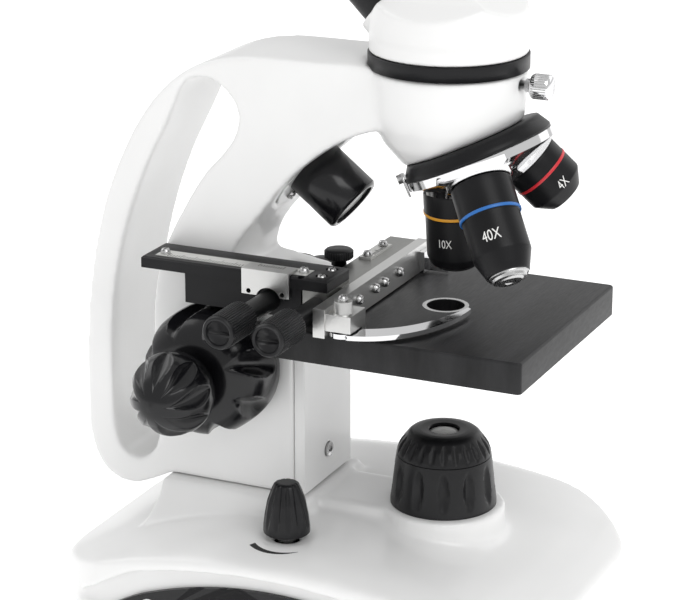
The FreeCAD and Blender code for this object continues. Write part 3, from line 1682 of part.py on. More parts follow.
turns = [size("turret_turn"), size("turret_turn") - 120, size("turret_turn") + 120]
turret = lathe(
    [
        (stud + size("running_gap"), mount_rim + 0.2),
        (turret_radius, mount_rim + 0.2),
        (turret_radius, turret_band),
        (stud + 3.2, cone_tip - (stud + 3.2) * math.tan(tilt)),
        (stud + 3.2, cone_tip + 0.4),
        (stud + size("running_gap"), cone_tip + 0.4),
    ]
)
turret_hollow = lathe(
    [
        (stud + 3, mount_rim + 0.1),
        (turret_radius - 2.4, mount_rim + 0.1),
        (turret_radius - 2.4, turret_band - 1.4),
        (stud + 3, cone_tip - (stud + 3) * math.tan(tilt) - 3.4),
    ]
)
turret = turret.cut(turret_hollow)
turret.Placement = nose_frame
thread = size("thread_radius")
for turn in turns:
    boss_at = apex + nose_direction(turn) * (size("objective_top") - 3.4)
    boss_ring = Part.makeCylinder(thread + 1.3, 3.3, boss_at, nose_direction(turn))
    turret = turret.fuse(boss_ring)
for turn in turns:
    bore = Part.makeCylinder(thread + 0.03, 14, apex + nose_direction(turn) * 27, nose_direction(turn))
    turret = turret.cut(bore)
shaped("nosepiece_turret", turret)

spring_leaf = Part.makeBox(6, 0.6, 8, Vector(-3, turret_radius + 0.15, mount_rim - 3.4))
spring_root = Part.makeBox(6, 1.2, 3, Vector(-3, turret_radius - 0.6, mount_rim - 3.4))
spring_screw = Part.makeCylinder(1.6, 2.2, Vector(0, turret_radius, mount_rim - 1.9), Vector(0, 1, 0))
spring = spring_leaf.fuse([spring_root, spring_screw])
spring.rotate(Vector(0, 0, 0), Vector(0, 0, 1), 150)
spring.Placement = nose_frame.multiply(spring.Placement)
spring = spring.cut(mount)
shaped("click_spring", spring)


def objective(name, turn, profile, lens):
    """An objective from its thread down, with its front lens; profile is (radius, distance from the apex)."""
    top = size("objective_top")
    bore = profile[-1][0] - 1.4
    low = profile[-1][1]
    points = [(thread - 1.6, size("objective_neck")), (thread, size("objective_neck")), (thread, top)]
    points += profile
    points += [(bore, low), (bore, low - 0.8), (lens, low - 0.8), (lens, low - 1.4), (bore, low - 2.6)]
    points += [(bore, low - 3.2), (thread - 1.6, top + 4)]
    barrel = lathe(points)
    glass = lathe([(0, low - 2.6), (bore, low - 2.6), (lens, low - 1.4), (lens, low - 0.8), (0, low - 0.5)])
    barrel = barrel.fuse(glass)
    barrel.Placement = Placement(apex, Rotation(Vector(0, 0, 1), nose_direction(turn)))
    shaped(name, barrel)


barrel = size("objective_radius")
shoulder_at = size("objective_top")
objective(
    "objective_4x",
    turns[2],
    [
        (barrel - 0.6, shoulder_at),
        (barrel, shoulder_at + 0.8),
        (barrel, 51.8),
        (barrel - 0.5, 52.6),
        (barrel - 3.4, 55.6),
    ],
    4.6,
)
objective(
    "objective_10x",
    turns[0],
    [
        (barrel - 0.6, shoulder_at),
        (barrel, shoulder_at + 0.8),
        (barrel, 59.6),
        (barrel - 1.8, 63.8),
        (barrel - 3.4, 65.8),
    ],
    3.4,
)
objective(
    "objective_40x",
    turns[1],
    [
        (barrel - 0.6, shoulder_at),
        (barrel, shoulder_at + 0.8),
        (barrel, 48.9),
        (barrel - 0.5, 49.2),
        (barrel - 0.5, 62.6),
        (barrel - 3.0, 69.8),
        (barrel - 4.4, 70.2),
        (barrel - 4.8, 71.4),
        (barrel - 6.2, 72.4),
    ],
    1.6,
)

# ----------------------------------------------------------------------------------------------------------
# Head and eyepiece
# ----------------------------------------------------------------------------------------------------------

ring_top = bowl_top + size("ring_tall")
stem = size("head_stem_radius")
ring = lathe(
    [
        (size("light_bore"), size("head_stem_foot")),
        (stem, size("head_stem_foot")),
        (stem, bowl_top + 0.1),
        (size("ring_radius"), bowl_top + 0.1),
        (size("ring_radius"), ring_top - 0.3),
        (size("ring_radius") - 0.3, ring_top),
        (size("light_bore"), ring_top),
    ]
)
shaped("head_ring", ring)

cap = size("cap_radius")
cap_step = size("cap_step")
cap_shoulder = size("cap_shoulder")
tube_lean = math.radians(size("tube_tilt"))
tube_dir = Vector(0, math.sin(tube_lean), math.cos(tube_lean))
tube_root = Vector(0, 0, size("tube_cross"))
cap_body = lathe(
    [
        (0, ring_top),
        (cap + 0.4, ring_top),
        (cap + 0.4, cap_step - 0.3),
        (cap, cap_step),
        (cap, cap_shoulder + 16),
        (0, cap_shoulder + 16),
    ]
)
section = [
    (-cap - 1, ring_top - 1),
    (-cap - 1, cap_shoulder),
    (-cap, cap_shoulder),
    (-cap * 0.62, cap_shoulder + 4.6),
    (-cap * 0.5, cap_shoulder + 9.5),
    (-cap * 0.32, cap_shoulder + 13.6),
    (0, cap_shoulder + 15.4),
]
corners = [Vector(x, -60, z) for x, z in section] + [Vector(-x, -60, z) for x, z in reversed(section[:-1])]
hood = Part.Face(Part.makePolygon(corners + corners[:1])).extrude(Vector(0, 120, 0))
cap_body = cap_body.common(hood)
front_slope = side_face(
    [
        (-cap - 1, cap_shoulder - 0.4),
        (6, cap_shoulder + 17.5),
        (6, cap_shoulder + 40),
        (-cap - 1, cap_shoulder + 40),
    ],
    -cap - 5,
).extrude(Vector(2 * cap + 10, 0, 0))
cap_body = cap_body.cut(front_slope)
collar_end = size("collar_end")
collar = Part.makeCylinder(size("collar_radius"), collar_end - 6, tube_root + tube_dir * 6, tube_dir)
collar = collar.common(Part.makeBox(100, 100, 100, Vector(-50, -50, ring_top)))
cap_body = cap_body.fuse(collar)
cap_body = cap_body.cut(Part.makeCylinder(90, 60, tube_root + tube_dir * collar_end, tube_dir))
inside = Part.makeCylinder(cap - 4, cap_shoulder - 4 - ring_top + 1, Vector(0, 0, ring_top - 1))
inside = inside.cut(Part.makeCylinder(90, 60, tube_root + tube_dir * (collar_end - 4), tube_dir))
tube_way = Part.makeCylinder(size("tube_radius") + 0.02, 40, tube_root + tube_dir * 14, tube_dir)
prism_half = size("prism_half")


def prism_block(grow):
    """The deflecting prism, or with a margin the room it sits in."""
    section = [
        (-prism_half - grow, ring_top - grow),
        (prism_half + grow, ring_top - grow),
        (prism_half + 4.5 + grow, ring_top + 4.5 - grow),
        (3.4 + grow, ring_top + 11.2 + grow),
        (-prism_half + 2 - grow, ring_top + 9.6 + grow),
    ]
    corners = [Vector(-prism_half - grow, y, z) for y, z in section]
    return Part.Face(Part.makePolygon(corners + corners[:1])).extrude(Vector(2 * (prism_half + grow), 0, 0))


cap_body = cap_body.cut(inside.fuse([tube_way, prism_block(0.3)]))
shaped("head_housing", cap_body.removeSplitter())
shaped("prism", prism_block(0))

lock_z = size("lock_height")
lock_radius = size("lock_radius")
lock = lathe(
    [
        (0, 0),
        (size("screw_radius"), 0),
        (size("screw_radius"), 8.6),
        (size("screw_radius") + 0.8, 8.6),
        (size("screw_radius") + 0.8, 10.6),
        (lock_radius - 0.4, 10.6),
        (lock_radius, 11.2),
        (lock_radius, 16.6),
        (lock_radius - 0.6, 17.2),
        (0, 17.2),
    ]
)
lock.Placement = Placement(Vector(0, -stem - 0.3, lock_z), ALONG_MINUS_Y)
shaped("head_lock_screw", lock)

tube_turn = Rotation(Vector(0, 0, 1), tube_dir)
tube = turned(
    "tube",
    [
        ("tube_bore", "tube_start"),
        ("tube_radius", "tube_start"),
        ("tube_radius", "tube_end - 0.6"),
        ("tube_radius - 0.4", "tube_end"),
        ("tube_bore", "tube_end"),
    ],
)
keep(place(tube, "0", "0", "tube_cross", tube_turn), "eyepiece_tube")
eyepiece = turned(
    "ocular",
    [
        ("tube_bore - running_gap", "tube_end - 28"),
        ("tube_bore - running_gap", "tube_end + 0.1"),
        ("eyepiece_radius - 1.2", "tube_end + 0.1"),
        ("eyepiece_radius", "tube_end + 1.3"),
        ("eyepiece_radius", "tube_end + 17"),
        ("eyepiece_radius - 1", "eyepiece_end - 8"),
        ("eyepiece_radius - 2.2", "eyepiece_end - 1.2"),
        ("eyepiece_radius - 3.4", "eyepiece_end"),
        ("9.4", "eyepiece_end"),
        ("8.2", "eyepiece_end - 4"),
        ("8.2", "eyepiece_end - 4.6"),
        ("9.2", "eyepiece_end - 4.6"),
        ("9.2", "tube_end - 28"),
    ],
)
keep(place(eyepiece, "0", "0", "tube_cross", tube_turn), "eyepiece")
eye_lens = turned(
    "eye_lens",
    [
        ("0", "eyepiece_end - 9"), ("9.15", "eyepiece_end - 7"), ("9.15", "eyepiece_end - 5.2"),
        ("0", "eyepiece_end - 4.8")
    ],
)
field_lens = turned(
    "field_lens",
    [("0", "tube_end - 26"), ("9.15", "tube_end - 25"), ("9.15", "tube_end - 23"), ("0", "tube_end - 20")],
)
lenses = [
    locate(lens, "0", "0", "tube_cross", tube_turn) for lens in (eye_lens, field_lens)
]
keep(place(group("lens_pair", lenses)), "eyepiece_lenses")

# ----------------------------------------------------------------------------------------------------------
# Check and write
# ----------------------------------------------------------------------------------------------------------

doc.recompute()
for item in doc.Objects:
    if "Invalid" in item.State or "Error" in item.State:
        raise RuntimeError("%s did not rebuild: %s" % (item.Label, item.State))
for piece in KEPT:
    if piece.Shape.isNull() or not piece.Shape.isValid() or not piece.Shape.Solids:
        raise RuntimeError("%s has no valid solid" % piece.Label)
    piece.Shape.exportStep("parts/%s.step" % piece.Label)
print(len(KEPT), "sub-parts written")
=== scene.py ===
# %% [markdown]
# # A student microscope, finished in cells
# The sizes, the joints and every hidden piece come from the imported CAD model. This notebook loads
# it as a fixed frame and then gives each visible piece its real surface: soft cast edges, fluted
# knobs, brushed bars, glass and painted marks. Everything is in metres, +Z up, with the carrying
# handle towards +Y.

# %% Load the frame
import math
import json

import bmesh
import bpy
from mathutils import Matrix, Vector


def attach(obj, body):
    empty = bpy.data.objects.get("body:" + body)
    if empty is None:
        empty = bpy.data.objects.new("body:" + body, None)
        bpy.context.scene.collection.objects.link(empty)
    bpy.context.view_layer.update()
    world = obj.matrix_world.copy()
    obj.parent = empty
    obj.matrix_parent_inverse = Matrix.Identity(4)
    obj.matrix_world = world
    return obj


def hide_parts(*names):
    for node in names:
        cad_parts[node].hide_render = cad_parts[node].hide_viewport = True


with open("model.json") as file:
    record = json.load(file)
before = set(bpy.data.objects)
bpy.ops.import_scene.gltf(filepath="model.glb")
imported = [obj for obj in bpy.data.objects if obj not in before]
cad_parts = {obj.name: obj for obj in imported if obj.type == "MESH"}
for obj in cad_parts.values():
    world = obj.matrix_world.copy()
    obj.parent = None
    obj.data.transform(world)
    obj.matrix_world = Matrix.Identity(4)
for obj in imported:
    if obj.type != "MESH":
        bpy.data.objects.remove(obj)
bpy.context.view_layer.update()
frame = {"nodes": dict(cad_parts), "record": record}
MM = 0.001
record = frame["record"]
body_of = {node: body for body, nodes in record["behaviour"]["bodies"].items() for node in nodes}
slot_of = {part["node"]: part["material_slot"] for part in record["subparts"]}

# %% [markdown]
# ## The camera
# A microscope is usually shown through a long lens from the front left, a little above the stage,
# so that its verticals stay nearly upright. A camera in Blender looks down its own -Z, so one
# turn about X tips it up from the floor and one about Z swings it round.

# %% Camera
CAMERA_PLACE = (-0.75593, -0.34892, 0.38671)
CAMERA_FALL = 18.28
CAMERA_TURN = -65.31
FOCAL_LENGTH = 131.1
camera_data = bpy.data.cameras.new("camera")
camera = bpy.data.objects.new("camera", camera_data)
bpy.context.scene.collection.objects.link(camera)
camera.location = CAMERA_PLACE
camera.rotation_euler = (math.radians(90 - CAMERA_FALL), 0, math.radians(CAMERA_TURN))
camera_data.lens = FOCAL_LENGTH
camera_data.sensor_width = 36
camera_data.clip_start = 0.01
bpy.context.scene.camera = camera
print("camera", tuple(round(value, 3) for value in camera.location))

# %% [markdown]
# ## Helpers that make a finish
# A painted or moulded surface is never one flat number. Each finish here starts from Blender's
# Principled shader and drives its colour and roughness a little with noise read from Object
# coordinates, so the pattern stays on the piece when it moves. A Bump node adds the fine relief:
# orange peel in paint, grain in plastic, or the long scratches of brushed metal, which are the
# same noise stretched along one axis.


# %% Finish helper
BROAD_PATCHES = 38.0


def finish(
    name, colour, rough, metal=0.0, drift=0.06, grain=900.0, relief=0.02, stretch=(1, 1, 1), **extra
):
    """A Principled material whose colour, roughness and relief vary over the piece."""
    material = bpy.data.materials.new(name)
    material.use_nodes = True
    nodes = material.node_tree.nodes
    links = material.node_tree.links
    shader = nodes["Principled BSDF"]
    shader.inputs["Metallic"].default_value = metal
    for socket, value in extra.items():
        shader.inputs[socket.replace("_", " ")].default_value = value
    where = nodes.new("ShaderNodeTexCoord")
    mapping = nodes.new("ShaderNodeMapping")
    mapping.inputs["Scale"].default_value = stretch
    links.new(where.outputs["Object"], mapping.inputs["Vector"])
    broad = nodes.new("ShaderNodeTexNoise")
    broad.inputs["Scale"].default_value = BROAD_PATCHES
    broad.inputs["Detail"].default_value = 3.0
    links.new(mapping.outputs["Vector"], broad.inputs["Vector"])
    tint = nodes.new("ShaderNodeValToRGB")
    low = [channel * (1 - drift) for channel in colour]
    high = [min(1.0, channel * (1 + drift) + drift * 0.01) for channel in colour]
    tint.color_ramp.elements[0].position = 0.35
    tint.color_ramp.elements[0].color = (*low, 1)
    tint.color_ramp.elements[1].position = 0.65
    tint.color_ramp.elements[1].color = (*high, 1)
    links.new(broad.outputs["Fac"], tint.inputs["Fac"])
    links.new(tint.outputs["Color"], shader.inputs["Base Color"])
    fine = nodes.new("ShaderNodeTexNoise")
    fine.inputs["Scale"].default_value = grain
    fine.inputs["Detail"].default_value = 2.0
    links.new(mapping.outputs["Vector"], fine.inputs["Vector"])
    sheen = nodes.new("ShaderNodeMapRange")
    sheen.inputs["To Min"].default_value = rough * 0.85
    sheen.inputs["To Max"].default_value = min(1.0, rough * 1.2)
    links.new(fine.outputs["Fac"], sheen.inputs["Value"])
    links.new(sheen.outputs["Result"], shader.inputs["Roughness"])
    bump = nodes.new("ShaderNodeBump")
    bump.inputs["Strength"].default_value = 0.6
    bump.inputs["Distance"].default_value = relief * MM
    links.new(fine.outputs["Fac"], bump.inputs["Height"])
    links.new(bump.outputs["Normal"], shader.inputs["Normal"])
    return material


# %% [markdown]
# ## The finishes
# The real object has few: one white enamel on the castings, a black crackle enamel on the stage,
# gloss and matte black mouldings for what the hand turns, and bare metal wherever something
# slides or screws.

# %% Finishes
DULL_BLACK = 0.22
SOFT_BLACK = 0.3
GLOSS_BLACK = 0.4
GLASS_IOR = 1.5
white_enamel = finish(
    "white_enamel", (0.84, 0.84, 0.835), 0.30, drift=0.012, grain=420, relief=0.03,
    Coat_Weight=0.25,
)
black_enamel = finish(
    "black_enamel", (0.006, 0.006, 0.007), 0.36, drift=0.2, grain=1800, relief=0.04,
    Specular_IOR_Level=DULL_BLACK,
)
stage_enamel = finish(
    "stage_enamel", (0.010, 0.010, 0.011), 0.40, drift=0.4, grain=700, relief=0.11,
    stretch=(0.35, 3.0, 1), Specular_IOR_Level=SOFT_BLACK,
)
black_gloss = finish(
    "black_gloss", (0.004, 0.004, 0.005), 0.20, drift=0.1, grain=500, relief=0.012,
    Specular_IOR_Level=GLOSS_BLACK,
)
black_moulding = finish(
    "black_moulding", (0.008, 0.008, 0.009), 0.34, drift=0.15, grain=2200, relief=0.04,
    Specular_IOR_Level=SOFT_BLACK,
)
brushed_bar = finish(
    "brushed_bar", (0.62, 0.62, 0.61), 0.30, metal=1.0, drift=0.07, grain=1400, relief=0.05,
    stretch=(0.08, 1, 1),
)
grey_slide = finish(
    "grey_slide", (0.30, 0.30, 0.29), 0.38, metal=1.0, drift=0.12, grain=1300, relief=0.05,
    stretch=(0.15, 1, 1),
)
machined = finish(
    "machined", (0.55, 0.55, 0.55), 0.26, metal=1.0, drift=0.08, grain=1800, relief=0.03
)
satin_plate = finish(
    "satin_plate", (0.70, 0.70, 0.68), 0.42, metal=0.7, drift=0.04, grain=2400, relief=0.03
)
chrome = finish("chrome", (0.78, 0.78, 0.79), 0.09, metal=1.0, drift=0.03, grain=160, relief=0.01)
bush_brass = finish(
    "bush_brass", (0.62, 0.44, 0.18), 0.3, metal=1.0, drift=0.1, grain=1500, relief=0.03
)
foot_rubber = finish("foot_rubber", (0.018, 0.018, 0.018), 0.75, drift=0.2, grain=1600, relief=0.09)
clear_glass = finish(
    "clear_glass", (0.95, 0.97, 0.98), 0.04, drift=0.01, grain=60, relief=0.002,
    Transmission_Weight=0.95, IOR=GLASS_IOR,
)
frosted_glass = finish(
    "frosted_glass", (0.80, 0.80, 0.78), 0.30, drift=0.02, grain=1200, relief=0.02,
    Transmission_Weight=0.25, IOR=GLASS_IOR,
)
lamp_die = finish("lamp_die", (0.85, 0.72, 0.30), 0.4, drift=0.1, grain=900, relief=0.02)
SLOT_FINISH = {
    "white_paint": white_enamel,
    "black_paint": black_enamel,
    "black_gloss": black_gloss,
    "black_matte": black_moulding,
    "grey_metal": grey_slide,
    "bare_aluminium": brushed_bar,
    "chrome": chrome,
    "steel": machined,
    "brass": bush_brass,
    "rubber": foot_rubber,
    "glass": clear_glass,
    "lamp_glass": frosted_glass,
    "led": lamp_die,
}


def paint(item, material):
    """Give the whole piece one finish."""
    if item.data.materials:
        for number in range(len(item.data.materials)):
            item.data.materials[number] = material
    else:
        item.data.materials.append(material)


for node, item in frame["nodes"].items():
    paint(item, SLOT_FINISH[slot_of[node]])
paint(frame["nodes"]["stage_plate"], stage_enamel)
paint(frame["nodes"]["y_scale"], satin_plate)
paint(frame["nodes"]["x_vernier"], satin_plate)
print("finishes:", len(SLOT_FINISH) + 1)

# %% [markdown]
# ## Helpers that make a piece
# Three ways of making a shape cover almost everything. A *cast* piece copies the CAD solid,
# remeshes it into an even skin and relaxes it, which rounds every edge as a mould does. A
# *milled* piece copies the solid and only breaks its edges with a small bevel. A *turned* piece
# is a grid wrapped round an axis, whose radius may change with the angle, for flutes and
# scallops.


# %% Mesh helpers
WELD = 0.002 * MM
FLAT_ANGLE = 1.0


def new_piece(name, mesh):
    """An object for a mesh that is already in place."""
    item = bpy.data.objects.new(name, mesh)
    bpy.context.scene.collection.objects.link(item)
    return item


def frozen(item, name):
    """The item's mesh with its modifiers worked in; the item itself is removed."""
    bpy.context.view_layer.update()
    evaluated = item.evaluated_get(bpy.context.evaluated_depsgraph_get())
    mesh = bpy.data.meshes.new_from_object(evaluated)
    mesh.name = name
    bpy.data.objects.remove(item)
    return new_piece(name, mesh)


def smooth(item, degrees=35):
    """Smooth shading, kept sharp where two faces meet at more than the angle."""
    for polygon in item.data.polygons:
        polygon.use_smooth = True
    item.data.set_sharp_from_angle(angle=math.radians(degrees))
    return item


def merged_copy(node):
    """The CAD node's triangles, joined into one skin."""
    source = bmesh.new()
    source.from_mesh(frame["nodes"][node].data)
    bmesh.ops.remove_doubles(source, verts=source.verts, dist=WELD)
    mesh = bpy.data.meshes.new(node + "_copy")
    source.to_mesh(mesh)
    source.free()
    mesh.materials.clear()
    return mesh


def cast(node, voxel, rounds):
    """A copy of a CAD node with the soft edges of a casting."""
    item = new_piece(node + "_rough", merged_copy(node))
    skin = item.modifiers.new("skin", "REMESH")
    skin.mode = "VOXEL"
    skin.voxel_size = voxel * MM
    relax = item.modifiers.new("relax", "SMOOTH")
    relax.factor = 0.5
    relax.iterations = rounds
    return frozen(item, node + "_cast")


def milled(node, width, angle=28, segments=2):
    """A copy of a CAD node with its edges broken."""
    mesh = merged_copy(node)
    flat = bmesh.new()
    flat.from_mesh(mesh)
    bmesh.ops.dissolve_limit(
        flat, angle_limit=math.radians(FLAT_ANGLE), verts=flat.verts, edges=flat.edges
    )
    flat.to_mesh(mesh)
    flat.free()
    item = new_piece(node + "_rough", mesh)
    edge = item.modifiers.new("edge", "BEVEL")
    edge.width = width * MM
    edge.segments = segments
    edge.limit_method = "ANGLE"
    edge.angle_limit = math.radians(angle)
    edge.use_clamp_overlap = True
    return frozen(item, node + "_milled")


def turned(name, profile, count=96, shape=None, matrix=None, fine=0.8, loop=False):
    """A closed surface of turn from (radius, height) points in mm; a loop is a ring with a bore."""
    profile = profile + profile[:1] if loop else profile
    rows = []
    for (r_a, z_a), (r_b, z_b) in zip(profile, profile[1:]):
        steps = max(1, int(math.hypot(r_b - r_a, z_b - z_a) / fine))
        for step in range(steps):
            share = step / steps
            rows.append((r_a + (r_b - r_a) * share, z_a + (z_b - z_a) * share))
    if not loop:
        rows.append(profile[-1])
    body = bmesh.new()
    rings = []
    for radius, height in rows:
        if radius < 0.001:
            rings.append([body.verts.new((0, 0, height * MM))])
            continue
        ring = []
        for number in range(count):
            angle = 2 * math.pi * number / count
            here = shape(angle, radius, height) if shape else radius
            ring.append(
                body.verts.new(
                    (here * MM * math.cos(angle), here * MM * math.sin(angle), height * MM)
                )
            )
        rings.append(ring)
    for lower, upper in zip(rings, rings[1:] + rings[:1] if loop else rings[1:]):
        for number in range(count):
            after = (number + 1) % count
            if len(lower) == 1 and len(upper) == 1:
                break
            if len(lower) == 1:
                body.faces.new((lower[0], upper[after], upper[number]))
            elif len(upper) == 1:
                body.faces.new((lower[number], lower[after], upper[0]))
            else:
                body.faces.new((lower[number], lower[after], upper[after], upper[number]))
    for end in () if loop else (rings[0], rings[-1]):
        if len(end) > 1:
            body.faces.new(end)
    bmesh.ops.recalc_face_normals(body, faces=body.faces)
    if matrix:
        bmesh.ops.transform(body, matrix=matrix, verts=body.verts)
    mesh = bpy.data.meshes.new(name)
    body.to_mesh(mesh)
    body.free()
    return new_piece(name, mesh)


def done(item, node, material, stands=True, degrees=35):
    """Shade a finished piece, give it its finish, and let it ride with the node it belongs to."""
    smooth(item, degrees)
    paint(item, material)
    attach(item, body_of[node])
    if stands:
        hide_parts(node)
    return item


def rounded(profile, radius=0.5, steps=4):
    """The profile with each inner corner turned into a short arc."""
    result = [profile[0]]
    for before, corner, after in zip(profile, profile[1:], profile[2:]):
        a, b, c = Vector(before), Vector(corner), Vector(after)
        reach = min(radius, (a - b).length * 0.45, (c - b).length * 0.45)
        start = b + (a - b).normalized() * reach
        end = b + (c - b).normalized() * reach
        for step in range(steps + 1):
            share = step / steps
            point = start * (1 - share) ** 2 + b * 2 * share * (1 - share) + end * share ** 2
            result.append((point.x, point.y))
    result.append(profile[-1])
    return result


# %% [markdown]
# ## Rounding the foot
# The foot's corners are broad curves in plan. Every piece of the foot is bent by the same rule,
# which draws each square corner part of the way in to a quarter of a disc, further at the rear
# than at the front, and lets the upper edge fall away a little. The straight sides stay where
# they are.

# %% Corner rule
FOOT_HALF = (64.0, 92.8)
FOOT_CORNER = 40.0
FRONT_PULL = 0.5
REAR_PULL = 0.85
DROOP = 4.5
DROOP_EDGE = 0.72
DROOP_EDGE_SPAN = 0.28
DROOP_LOW = 26
DROOP_SPAN = 14
FOOT_NODES = (
    "base_shell", "side_panel_left", "side_panel_right", "bottom_plate", "rubber_feet"
)


def round_foot(item):
    """Draw the plan corners of a foot piece in to quarter discs, and let its upper edge fall."""
    for vertex in item.data.vertices:
        share = []
        for value, half in zip(vertex.co, FOOT_HALF):
            share.append(max(0.0, (abs(value) / MM - half + FOOT_CORNER) / FOOT_CORNER))
        edge = max(abs(value) / MM / half for value, half in zip(vertex.co, FOOT_HALF))
        fall = min(1.0, max(0.0, (edge - DROOP_EDGE) / DROOP_EDGE_SPAN)) ** 2
        high = min(1.0, max(0.0, (vertex.co.z / MM - DROOP_LOW) / DROOP_SPAN))
        vertex.co.z -= DROOP * fall * high * MM
        if min(share) > 0:
            pull = REAR_PULL if vertex.co.y > 0 else FRONT_PULL
            for number, half in enumerate(FOOT_HALF):
                disc = share[number] * math.sqrt(max(0.0, 1 - share[1 - number] ** 2 / 2))
                drawn = share[number] + pull * (disc - share[number])
                reach = (half - FOOT_CORNER + drawn * FOOT_CORNER) * MM
                vertex.co[number] = math.copysign(reach, vertex.co[number])
    return item


print("foot pieces to round:", len(FOOT_NODES))

# %% [markdown]
# ## The castings
# Base, arm and head are thick enamelled castings. Their CAD solids have crisp edges, so the cast
# copy gives them the broad radii of the real ones.

# %% Castings
CASTINGS = {"base_shell": (1.15, 12), "arm": (1.05, 10), "head_housing": (0.6, 9)}
for node, (voxel, rounds) in CASTINGS.items():
    item = cast(node, voxel, rounds)
    if node in FOOT_NODES:
        round_foot(item)
    done(item, node, white_enamel, degrees=60)
    print(node, "triangles", len(item.data.polygons) * 2)

# %% [markdown]
# ## Smooth copies of the machined and moulded parts
# A CAD node comes in as loose flat triangles, so a round part would show facets. Most of the
# smaller parts have the right shape already; a merged copy with smooth shading, kept sharp at
# real corners, is all they need.

# %% Smooth copies
ROUND_NODES = (
    "bottom_plate rubber_feet frame_screws side_panel_left side_panel_right power_jack "
    "lamp_switch battery_door illuminator_lens lamp_housing lamp_lens lamp_cover focus_bushes "
    "focus_shaft disc_diaphragm stage_screws holder_clamp_screw y_scale x_vernier rail_screws "
    "bar_screws y_knob x_knob spring_finger click_spring nosepiece_mount nosepiece_turret "
    "head_ring head_lock_screw eyepiece_tube eyepiece eyepiece_lenses"
).split()
for node in ROUND_NODES:
    material = frame["nodes"][node].data.materials[0]
    item = new_piece(node + "_smooth", merged_copy(node))
    if node in FOOT_NODES:
        round_foot(item)
    done(item, node, material, degrees=32)
print("smooth copies:", len(ROUND_NODES))

# %% [markdown]
# ## Milled bars and blocks
# The slide holder, its rails and the stage are milled from bar. Real milled edges are broken with
# a file, and the thin bright line that leaves is what makes metal look like metal, so each copy
# gets a narrow bevel.

# %% Milled pieces
MILLED = {
    "stage_plate": 0.45,
    "stage_carriage": 0.5,
    "holder_base": 0.35,
    "y_rail": 0.3,
    "x_guide": 0.25,
    "vernier_bracket": 0.15,
    "x_bar": 0.2,
    "finger_block": 0.25,
    "slide_jaw": 0.2,
}
for node, width in MILLED.items():
    material = frame["nodes"][node].data.materials[0]
    item = done(milled(node, width), node, material, degrees=18)
    print(node, "faces", len(item.data.polygons))

# %% [markdown]
# ## Focus knobs
# Each side has a big coarse drum with eight scooped hollows on its shoulder, and a small fine
# dome with nine leaf-shaped flutes. Both are turned pieces: a hollow is a paraboloid taken off
# the radius wherever the angle and the height fall inside its oval, which leaves the crisp rim
# that a moulded scoop has.

# %% Scoops and flutes


def scoops(count, low, high, half_angle, depth, lean=0.0, leaf=False, phase=0.0):
    """A radius rule that takes oval or leaf-shaped hollows off a turned piece."""

    def rule(angle, radius, height):
        along = (height - (low + high) / 2) / ((high - low) / 2)
        if abs(along) >= 1 or radius < 1:
            return radius
        pitch = 2 * math.pi / count
        across = (angle - phase - lean * along + pitch / 2) % pitch - pitch / 2
        if leaf:
            width = half_angle * (1 - along * along) + 0.001
            share = (1 - (across / width) ** 2) * (1 - along * along)
        else:
            share = 1 - (across / half_angle) ** 2 - along * along
        return radius - depth * max(0.0, share)

    return rule


def facing(place, direction):
    """The matrix that stands a turned piece at a point, with its own Z along a direction."""
    turn = Vector(direction).to_track_quat("Z", "Y").to_matrix().to_4x4()
    return Matrix.Translation(Vector(place) * MM) @ turn


FOCUS_Y = 36.2
FOCUS_Z = 91.8
COARSE_START = 20
FINE_START = 47.8
FINE_STEM = 2.5
SHAFT_END = {"left": -106.4, "right": 10.8}
coarse_profile = rounded(
    [
        (4.4, 0), (19.5, 0), (21.9, 2.5), (22.5, 8), (22.2, 16.7), (20.3, 22.1), (17.0, 25.4),
        (13.0, 27.0), (4.4, 27.0),
    ],
    4.0,
    6,
)
coarse_rule = scoops(8, 6.5, 26.5, 0.23, 3.6, lean=0.16, phase=0.3)
fine_rule = scoops(9, 10.5, 26.2, 0.27, 1.9, lean=-0.10, leaf=True, phase=0.18)
dome = [
    (9.0, 0), (11.8, 3.3), (13.9, 8.2), (14.4, 12.2), (13.5, 16.3), (11.2, 20.7), (7.8, 24.2),
    (4.0, 26.5), (0, 27.2),
]
for side, name in ((-1, "left"), (1, "right")):
    first = [(0, SHAFT_END[name]), (FINE_STEM, SHAFT_END[name]), (FINE_STEM, 0)]
    place = facing((side * COARSE_START, FOCUS_Y, FOCUS_Z), (side, 0, 0))
    item = turned("coarse_drum_" + name, coarse_profile, 240, coarse_rule, place, 0.7, loop=True)
    done(item, "coarse_knob_" + name, black_gloss, degrees=30)
    place = facing((side * FINE_START, FOCUS_Y, FOCUS_Z), (side, 0, 0))
    item = turned("fine_dome_" + name, first + rounded(dome, 4.0, 5), 216, fine_rule, place, 0.6)
    done(item, "fine_knob_" + name, black_gloss, degrees=30)
    print("focus knobs", name, len(item.data.polygons))

# %% [markdown]
# ## Brightness knob and illuminator
# The small cone on the base is fluted from its foot to its flat top. The illuminator is a dome in
# two pieces: a body with twelve long hollows, and a ring with twenty-four short ones round a
# frosted window.

